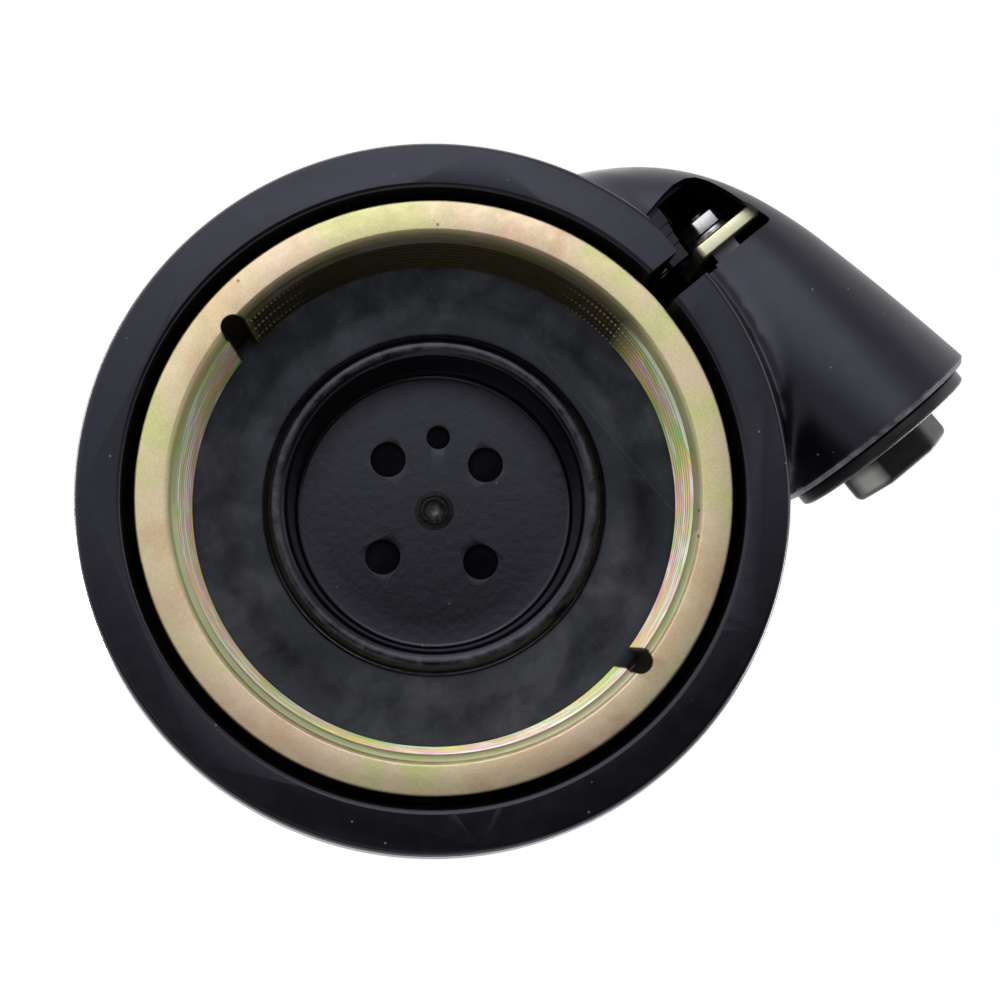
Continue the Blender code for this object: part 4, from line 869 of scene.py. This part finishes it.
def loftLobe(name, places, wall=0.0, innerX=None, corners=64):
    # a disc that is extruded from station to station, each half stretched to its own reach
    def reaches(y):
        outer, inner, low, top, midX, midZ = lobeAt(min(y, lobeStations[-1][0]))
        inner = inner + wall if innerX is None else innerX
        return midX, midZ, outer - wall - midX, midX - inner, top - wall - midZ, midZ - low - wall

    midX, midZ = reaches(places[0])[:2]
    start = 10.0  # the disc's first radius
    deselectAll()
    bpy.ops.mesh.primitive_circle_add(vertices=corners, radius=start * mm, fill_type="NGON",
                                      location=(midX * mm, places[0] * mm, midZ * mm),
                                      rotation=(math.pi / 2, 0, 0))
    piece = bpy.context.object
    piece.name = name
    applyPlace()
    startEdit(piece)
    old = (midX, midZ, start, start, start, start)
    for index, y in enumerate(places):
        new = reaches(y)
        if index:
            extrude(((new[0] - old[0]) * mm, (y - places[index - 1]) * mm, (new[1] - old[1]) * mm))
        shape = bmesh.from_edit_mesh(piece.data)
        loop = [vert.index for vert in shape.verts if vert.select]
        for column, (axis, side) in enumerate(((0, 1), (0, -1), (2, 1), (2, -1)), 2):
            share = new[column] / old[column]
            middle = (new[0] if axis == 0 else new[1]) * mm
            shape = bmesh.from_edit_mesh(piece.data)
            shape.verts.ensure_lookup_table()
            selectVerts(piece, [i for i in loop if side * (shape.verts[i].co[axis] - middle) > 0.01 * mm])
            value = (share, 1, 1) if axis == 0 else (1, 1, share)
            bpy.ops.transform.resize(value=value, center_override=(new[0] * mm, y * mm, new[1] * mm))
        selectVerts(piece, loop)
        old = new
    closeUp()
    return piece


def skirtReach(z):
    # radius of the skirt's outer side at a height, in millimetres
    if z < shell["skirtFull"]:
        return shell["skirtRadius"] - (shell["skirtFull"] - z) * shell["skirtLean"]
    if z < shell["shoulderHeight"]:
        return shell["skirtRadius"]
    rise = shell["crown"] - shell["domeRise"] - shell["shoulderHeight"]
    share = min(1.0, (z - shell["shoulderHeight"]) / rise)
    return shell["skirtRadius"] - shell["shoulderWidth"] * (1 - math.sqrt(1 - share * share))


def makeShell():
    flat = shell["skirtRadius"] - shell["shoulderWidth"]
    rise = shell["crown"] - shell["domeRise"] - shell["shoulderHeight"]
    dome = [flat * i / 12 for i in range(12)]
    profile = [(r, shell["crown"] - shell["domeRise"] * (r / flat) ** 2) for r in dome]
    profile += arcPoints(flat, shell["shoulderHeight"], shell["shoulderWidth"], rise, 90, 0, 16)
    profile += [(shell["skirtRadius"], 18.0), (shell["skirtRadius"], shell["skirtFull"]),
                (skirtReach(shell["below"]), shell["below"]), (0.0, shell["below"])]
    piece = turnProfile("castShell", profile, shell["steps"])
    start, end = lobeStations[0][0], lock["endY"] + 2.5  # longer than the lobe, for a flat cut
    cut(piece, loftLobe("lobeForm", [start + (end - start) * i / 36 for i in range(37)]), "UNION", "EXACT")
    piece.data.remesh_voxel_size = shell["voxel"] * mm
    pick(piece)
    bpy.ops.object.voxel_remesh()
    print("  shell remeshed:", len(piece.data.polygons))
    lowY, highY = shell["filletY"]
    lowZ, highZ = shell["filletZ"]

    def nearSeam(vert):
        x, y, z = (value / mm for value in vert.co)
        return (x > shell["filletX"] and lowY < y < highY and lowZ < z < highZ
                and abs(math.hypot(x, y) - skirtReach(z)) < shell["filletReach"])

    # the lobe is blended into the skirt by smoothing what lies near their seam
    startEdit(piece)
    selectWhere(piece, nearSeam)
    bpy.ops.mesh.vertices_smooth(factor=0.5, repeat=shell["fillet"])
    bpy.ops.mesh.select_all(action="SELECT")
    bpy.ops.mesh.vertices_smooth(factor=0.5, repeat=2)
    bpy.ops.mesh.bisect(plane_co=(0, 0, 0), plane_no=(0, 0, 1), use_fill=True, clear_inner=True)
    endEdit()
    return piece


def cavityProfile():
    inner, ceiling, reach, edge = shell["rimInner"], shell["ceiling"], shell["cavity"], shell["rimEdge"]
    groove, low, high = shell["grooveRadius"], shell["grooveLow"], shell["grooveHigh"]
    width, rise = shell["vaultWidth"], shell["vaultRise"]
    hub, bush = shell["hub"], shell["bush"]
    return ([(0.0, bush[1]), bush, (bush[0], hub[1]), hub, (hub[0], ceiling)]
            + arcPoints(reach - width, ceiling - rise, width, rise, 90, 0, 12)
            + [(reach, shell["step"]), (inner, shell["step"]), (inner, high), (groove, high), (groove, low),
               (inner, low), (inner, edge)]
            + arcPoints(inner + edge, edge, edge, edge, 180, 270, 4)
            + [(inner + edge, -5.0), (0.0, -5.0)])


pocket = {  # outlines are (x, y), the ledge's is (y, z)
    "back": -14.4, "front": -0.6, "inner": 58.6, "wall": 1.3, "windowTop": 16.0,
    "window": [(52.0, -13.2), (55.2, -13.9), (58.9, -14.6), (61.6, -14.9), (64.2, -14.7), (65.9, -13.9),
               (67.1, -12.1), (67.9, -9.4), (68.4, -7.0), (68.7, -5.7), (69.3, -4.9), (70.0, -0.9),
               (69.6, -0.6), (64.1, -0.5), (57.0, -0.4), (52.0, -0.4)],
    "nutRoom": [(58.6, -10.6), (66.5, -10.6), (69.4, -0.5), (58.6, -0.4)], "nutRoomLow": 5.0,
    "ledge": [(-13.0, 10.0), (-13.0, 16.3), (-11.4, 16.4), (-11.4, 17.2), (-9.8, 17.3), (-9.8, 18.1),
              (-8.0, 18.2), (-8.0, 19.2), (-4.9, 19.4), (-4.9, 10.0)], "ledgeReach": (54.6, 58.8),
    "gap": [(52.1, -13.3), (54.7, -13.3), (55.3, -4.9), (53.3, -4.9)], "gapReach": (5.0, 23.0),
}


def cutPocket(piece):
    back, front = pocket["back"], pocket["front"]
    places = [back + (front - back) * i / 8 for i in range(9)]
    cut(piece, loftLobe("pocketForm", places, pocket["wall"], pocket["inner"]))
    cut(piece, extrudeOutline("windowForm", pocket["window"], -3.0, pocket["windowTop"]))
    cut(piece, extrudeOutline("nutRoomForm", pocket["nutRoom"], pocket["nutRoomLow"], lock["z"]))
    # stepped ledge between the skirt and the pocket, with a gap beside the rim
    ledge = extrudeOutline("ledgeForm", pocket["ledge"], *pocket["ledgeReach"])
    cut(piece, settle(ledge, (math.pi / 2, 0, math.pi / 2)))
    cut(piece, extrudeOutline("gapForm", pocket["gap"], *pocket["gapReach"]))


camSlot = {"middle": -2.6, "width": 5.4, "sweep": 20.0, "side": 3.6, "low": -22.2, "left": -5.6, "top": -5.0}


def cutSlot(piece):
    # the way of the cam's tongue through the skirt: a quarter turn, seen along the lock's axis
    sweep, side, left, top = (camSlot[key] for key in ("sweep", "side", "left", "top"))
    lean = math.degrees(math.asin(side / sweep))
    outline = arcPoints(0.0, 0.0, sweep, sweep, 90 - lean, 180, 24)
    outline += [(-sweep, camSlot["low"]), (left, camSlot["low"]), (left, top), (side, top)]
    form = extrudeOutline("slotForm", outline, -camSlot["width"] / 2, camSlot["width"] / 2)
    cut(piece, standOnLock(form, camSlot["middle"]))


bore = [(0.0, 40.0), (13.3, 40.0), (13.3, 30.3), (9.4, 30.3), (9.4, 2.0), (5.6, 2.0), (5.6, -2.7),
        (0.0, -2.7)]  # the lock's, from its end inwards


def cutLobeEnd(piece):
    # flat end of the lobe, the lock's bore and the chamfer round the end
    end, radius = lock["endY"], lock["endRadius"]
    outline = [(43.7, end), (90.0, end), (90.0, 44.0), (43.7, 44.0)]
    cut(piece, extrudeOutline("endForm", outline, -8.0, 46.0))
    cut(piece, layOnLock(turnProfile("boreForm", bore, 64)))
    chamfer = [(radius - 0.75, end + 0.4), (radius - 0.75, end), (radius + 0.05, end - 1.0),
               (radius + 2.0, end - 1.0), (radius + 2.0, end + 0.4), (radius - 0.75, end + 0.4)]
    cut(piece, layOnLock(turnProfile("endEdgeForm", chamfer, 96)))


def cutShell(piece):
    # the inside, the rim's outer corner, and what the lobe needs for the lock
    cut(piece, turnProfile("cavityForm", cavityProfile(), shell["steps"]))
    print("  cavity cut")
    radius, edge = shell["rimCorner"], shell["rimCornerEdge"]
    outline = [(radius, -0.4), (radius, 0.0)] + arcPoints(radius, edge, edge, edge, 270, 348, 5)
    outline += [(56.0, 1.1), (56.0, -0.4), (radius, -0.4)]
    cut(piece, turnProfile("rimEdgeForm", outline, shell["steps"]))
    cutPocket(piece)
    print("  pocket cut")
    groove = shell["crownGroove"]
    cut(piece, turnProfile("crownGrooveForm", arcPoints(*groove, 0, 360, 20), 128))
    cutSlot(piece)
    cutLobeEnd(piece)
    print("  slot and lock bore cut")
    return piece


castShell = cutShell(makeShell())
smoothOff(castShell, 38)
dress(castShell, castPaint, "shell", "black_paint", "cap_shell")
print("shell ready:", len(castShell.data.polygons))


# The threaded ring

ring = {"radius": 45.0, "low": 0.8, "high": 19.7, "faceInner": 40.3, "chamfer": 2.2, "edge": 0.5,
        "crest": 38.9, "root": 40.05, "pitch": 2.0,
        "notchRadius": 1.9, "notchPitch": 39.6, "notchAngle": 79.0,
        "lockNotches": 12, "lockWidth": 5.0, "lockFloor": 42.8, "lockLow": 14.9, "lockAngle": -4.84}


def makeThreadTap():
    # one turn of the thread's profile, run up as a screw
    pitch, root, inner = ring["pitch"], ring["root"], ring["crest"] - 0.35
    points = [(inner, 0, 0.0), (root, 0, pitch * 0.46), (root, 0, pitch * 0.54), (inner, 0, pitch)]
    piece = drawLine("threadTap", points)
    endEdit()
    settle(piece, place=(0, 0, -4.0 * mm))
    addModifier(piece, "SCREW", axis="Z", angle=math.tau, screw_offset=pitch * mm, iterations=14, steps=120,
                render_steps=120, use_merge_vertices=True, merge_threshold=weld)
    startEdit(piece)
    bpy.ops.mesh.remove_doubles(threshold=weld)
    for z, side in ((-1.0, "clear_inner"), (21.0, "clear_outer")):
        bpy.ops.mesh.select_all(action="SELECT")
        bpy.ops.mesh.bisect(plane_co=(0, 0, z * mm), plane_no=(0, 0, 1), use_fill=True, **{side: True})
    closeUp()
    return piece


def makeRing():
    low, high, edge = ring["low"], ring["high"], ring["edge"]
    radius, inner = ring["radius"], ring["faceInner"]
    profile = [(ring["crest"], high), (radius, high)]
    profile += arcPoints(radius - edge, low + edge, edge, edge, 0, -90, 4)
    profile += arcPoints(inner + 0.25, low + 0.25, 0.25, 0.25, 270, 215, 3)
    profile += [(ring["crest"], low + ring["chamfer"]), (ring["crest"], high)]
    piece = turnProfile("threadedRing", profile, 192)
    cut(piece, makeThreadTap(), solver="EXACT")
    for turn in (ring["notchAngle"], ring["notchAngle"] + 180):
        drillHole(piece, ring["notchPitch"], turn, ring["notchRadius"], 9.0, 30, 32, "EXACT")
    # notches for the cam's tongue, open to the outside
    floor, half, count = ring["lockFloor"], ring["lockWidth"] / 2, ring["lockNotches"]
    outline = [(floor, -half), (radius + 2.0, -half), (radius + 2.0, half), (floor, half)]
    for i in range(count):
        cutter = extrudeOutline("lockNotchForm", outline, ring["lockLow"], high + 1.0)
        cut(piece, settle(cutter, (0, 0, math.radians(ring["lockAngle"] + 360 / count * i))))
    return piece


threadedRing = makeRing()
smoothOff(threadedRing, 30)
dress(threadedRing, ringZinc, "neck_unit", "yellow_zinc", "threaded_ring")
print("ring ready:", len(threadedRing.data.polygons))


# The breather cup and the post's riveted end

cup = {"bead": 25.5, "beadZ": 19.45, "beadRoll": 1.35, "discRadius": 22.6, "discZ": 34.45, "corner": 1.4,
       "sheet": 1.0, "bore": 2.9, "hole": 3.0, "holePitch": 11.8, "holeAngle": -2.5, "bleed": 2.0,
       "bleedPitch": 12.6, "bleedAngle": -47.4}


def makeCup():
    corner = cup["corner"]
    profile = [(cup["bore"], cup["discZ"])]
    profile += [(cup["discRadius"] * i / 6, cup["discZ"]) for i in (1, 2, 3, 4, 5)]
    profile += arcPoints(cup["discRadius"], cup["discZ"] - corner, corner, corner, 90, 0, 8)
    profile += arcPoints(cup["bead"], cup["beadZ"], cup["beadRoll"], cup["beadRoll"], 180, 350, 18)
    piece = turnProfile("breatherCup", profile, 144)
    addModifier(piece, "SOLIDIFY", thickness=cup["sheet"] * mm, offset=0.0, use_even_offset=True)
    holes = [(cup["holePitch"], cup["holeAngle"] + 90 * i, cup["hole"]) for i in range(4)]
    holes.append((cup["bleedPitch"], cup["bleedAngle"], cup["bleed"]))
    for pitch, turn, radius in holes:
        drillHole(piece, pitch, turn, radius, cup["discZ"], 6, 40)
    return piece


breatherCup = makeCup()
bevelEdges(breatherCup, 0.22, lambda edge: abs(edge.verts[0].co.z - cup["discZ"] * mm) < 0.6 * mm
           and 6 * mm < edge.verts[0].co.to_2d().length < 18 * mm, 3)
smoothOff(breatherCup, 40)
dress(breatherCup, cupPaint, "neck_unit", "black_paint", "breather_cup")
print("cup ready:", len(breatherCup.data.polygons))

post = {"flare": 3.3, "flareLow": 32.75, "flareHigh": 33.65, "stem": 2.6, "journal": 4.0, "journalLow": 46.1,
        "top": 50.5, "rough": 0.07,
        "hollow": [(0.0, 2.3), (0.6, 2.2), (1.1, 1.9), (1.45, 1.4), (1.65, 0.9), (1.75, 0.45), (1.82, 0.15),
                   (1.95, 0.02), (2.1, 0.06), (2.3, 0.25), (2.55, 0.5), (2.85, 0.68), (3.1, 0.78)]}


def makePost():
    # hollow rivet end below the cup, with a rough crater, and a plain journal above it
    low, high, top = post["flareLow"], post["flareHigh"], post["top"]
    stem, journal, journalLow = post["stem"], post["journal"], post["journalLow"]
    profile = [(radius, low + rise) for radius, rise in post["hollow"]]
    profile += [(post["flare"], high), (stem, high), (stem, journalLow), (journal, journalLow),
                (journal, top - 0.4), (journal - 0.4, top), (0.0, top)]
    piece = turnProfile("pivotRivet", profile, 64)
    startEdit(piece)
    selectWhere(piece, lambda vert: vert.co.z < (low + 2.25) * mm
                and 0.3 * mm < vert.co.to_2d().length < 2.2 * mm)
    bpy.ops.transform.vertex_random(offset=post["rough"] * mm, uniform=0.2, normal=0.6, seed=4)
    bpy.ops.mesh.vertices_smooth(factor=0.4, repeat=1)
    endEdit()
    return piece


pivotRivet = makePost()
smoothOff(pivotRivet, 50)
dress(pivotRivet, rivetFinish, "neck_unit", "bright_steel", "pivot_post")

gasket = {"inner": 27.65, "outer": 41.0, "low": 20.0, "high": 23.0, "edge": 0.45, "middle": 31.0,
          "printInner": 33.6, "printOuter": 38.2, "printEdge": 0.25, "printDepth": 0.10}


def makeGasket():
    # moulded ring with the faint print of the neck's end on it
    edge, low, high = gasket["edge"], gasket["low"], gasket["high"]
    first, last, depth = gasket["printInner"], gasket["printOuter"], gasket["printDepth"]
    slope = gasket["printEdge"]
    profile = [(gasket["inner"], high), (gasket["outer"], high)]
    profile += arcPoints(gasket["outer"] - edge, low + edge, edge, edge, 0, -90, 5)
    profile += [(last + slope, low), (last, low + depth), (first, low + depth), (first - slope, low),
                (gasket["middle"], low)]
    profile += arcPoints(gasket["inner"] + edge, low + edge, edge, edge, 270, 180, 5)
    profile += [(gasket["inner"], high)]
    return turnProfile("gasketRing", profile, 144)


gasketRing = makeGasket()
smoothOff(gasketRing, 40)
dress(gasketRing, gasketRubber, "neck_unit", "black_rubber", "seal_gasket")
print("post and gasket ready")

coil = {"radius": 8.6, "wire": 0.55, "turns": 3.5, "fixed": 43.6, "lift": 1.2}


def makeSpring():
    # wire circle run up as a screw, with the share of its length that is left at full lift
    low, high = (corner.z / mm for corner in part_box("valve_spring"))
    wire, rise = coil["wire"], high - low - 2 * coil["wire"]
    deselectAll()
    bpy.ops.mesh.primitive_circle_add(vertices=12, radius=wire * mm, fill_type="NOTHING",
                                      location=(coil["radius"] * mm, 0, (low + wire) * mm),
                                      rotation=(math.pi / 2, 0, 0))
    piece = bpy.context.object
    piece.name = "valveSpring"
    applyPlace()
    addModifier(piece, "SCREW", axis="Z", angle=math.tau * coil["turns"], screw_offset=rise * mm,
                iterations=1, steps=168, render_steps=168, use_merge_vertices=False)
    startEdit(piece, "EDGE")
    bpy.ops.mesh.fill_holes(sides=0)
    closeUp()
    return piece, 1 - coil["lift"] / (coil["fixed"] - low)  # the length that is left at full lift


valveSpring, springKeep = makeSpring()
smoothOff(valveSpring, 40)
dress(valveSpring, turnedSteel, "neck_unit", "bright_steel", "valve_spring")
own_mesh(valveSpring)
print("spring ready")


# The cam and the small pieces of the lock

cam = {"length": 19.4, "side": 3.3, "left": 4.9, "reach": 8.1, "low": 6.0, "high": 2.6, "corner": 0.9,
       "thick": 2.2, "edge": 0.28, "hole": 5.2}


def makeCam():
    tip, side, corner = cam["length"] - cam["side"], cam["side"], cam["corner"]
    left, reach, low, high = cam["left"], cam["reach"], cam["low"], cam["high"]
    outline = arcPoints(0.0, tip, side, side, 0, 180, 16)
    outline += arcPoints(-side - 1.6, high + 0.4, 1.6, 1.6, 0, -60, 4)
    outline += arcPoints(-left + corner, -low + corner, corner, corner, 180, 270, 5)
    outline += arcPoints(reach - corner, -low + corner, corner, corner, 270, 360, 5)
    outline += arcPoints(reach - corner, high - corner, corner, corner, 0, 90, 5)
    outline += arcPoints(side + 1.5, high + 1.5, 1.5, 1.5, 270, 180, 5)
    piece = extrudeOutline("lockCam", outline, -cam["thick"] / 2, cam["thick"] / 2)
    bevelEdges(piece, cam["edge"], lambda edge: abs(edge.verts[0].co.z - edge.verts[1].co.z) < 0.01 * mm, 3)
    deselectAll()
    bpy.ops.mesh.primitive_cube_add(size=1.0, location=(0, 0, 0),
                                    scale=(cam["hole"] * mm, cam["hole"] * mm, 6 * mm))
    hole = bpy.context.object
    applyPlace()
    cut(piece, hole)
    return standOnLock(piece, lock["camY"])


lockCam = makeCam()
smoothOff(lockCam, 40)
dress(lockCam, camZinc, "lock", "yellow_zinc", "lock_cam")


def softenNode(node, name, width, body, slot, material, segments=2):
    # a copy of a CAD piece with its edges rounded
    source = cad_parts[node]
    piece = source.copy()
    piece.data = source.data.copy()
    for key in list(piece.keys()):
        del piece[key]
    piece.parent = None
    piece.name = name
    bpy.context.scene.collection.objects.link(piece)
    startEdit(piece)
    bpy.ops.mesh.remove_doubles(threshold=0.004 * mm)
    bpy.ops.mesh.select_all(action="SELECT")
    bpy.ops.mesh.dissolve_limited(angle_limit=math.radians(1.0))
    endEdit()
    bevelEdges(piece, width, lambda edge: edge.calc_length() > 0.3 * mm, segments)
    smoothOff(piece, 40)
    return dress(piece, material, body, slot, node)


softenNode("cam_nut", "camNut", 0.25, "lock", "bright_steel", lockSteel)
softenNode("cam_washer", "camWasher", 0.12, "lock", "bright_steel", lockSteel)
print("cam ready")


# The dust cover

cover = {"radius": 16.2, "back": 36.8, "front": 39.1, "edge": 0.55, "spigot": 10.2, "spigotLength": 3.4,
         "groove": 9.1,
         "flats": 16.4, "gripEnd": 44.3, "turn": 7.8, "gripEdge": 1.3}


def makeCover():
    back, front, edge, radius = cover["back"], cover["front"], cover["edge"], cover["radius"]
    profile = [(0.0, front), (8.0, front), (13.4, front), (13.6, front - 0.12), (14.0, front - 0.15)]
    profile += arcPoints(radius - edge, front - edge - 0.15, edge, edge, 90, 0, 5)
    profile += arcPoints(radius - 0.3, back + 0.3, 0.3, 0.3, 0, -90, 3)
    spigot, end = cover["spigot"], back - cover["spigotLength"]
    groove, first, last = cover["groove"], back - 1.0, back - 2.4
    profile += [(spigot, back), (spigot, first), (groove, first), (groove, last), (spigot, last),
                (spigot - 0.5, end), (0.0, end)]
    piece = turnProfile("dustCover", profile, 96)
    low, high = front - 0.9, cover["gripEnd"]
    deselectAll()
    bpy.ops.mesh.primitive_cylinder_add(vertices=6, radius=cover["flats"] / math.sqrt(3) * mm,
                                        depth=(high - low) * mm, location=(0, 0, (low + high) / 2 * mm),
                                        rotation=(0, 0, math.radians(cover["turn"] - 30)))
    grip = bpy.context.object
    applyPlace()
    startEdit(grip, "EDGE")
    selectWhere(grip, lambda edge: abs(edge.verts[0].co.z - edge.verts[1].co.z) > mm
                or min(edge.verts[0].co.z, edge.verts[1].co.z) > (high - 0.1) * mm, "edges")
    bpy.ops.mesh.bevel(offset=cover["gripEdge"] * mm, segments=5, profile=0.5)
    endEdit()
    cut(piece, grip, "UNION")
    bevelEdges(piece, 0.35, lambda edge: abs(edge.verts[0].co.z - front * mm) < 0.02 * mm
               and abs(edge.verts[1].co.z - front * mm) < 0.02 * mm, 3)
    return layOnLock(piece)


dustCover = makeCover()
smoothOff(dustCover, 35)
dress(dustCover, coverNylon, "cover", "black_plastic", "dust_cover")
print("cover ready")

bpy.context.view_layer.update()
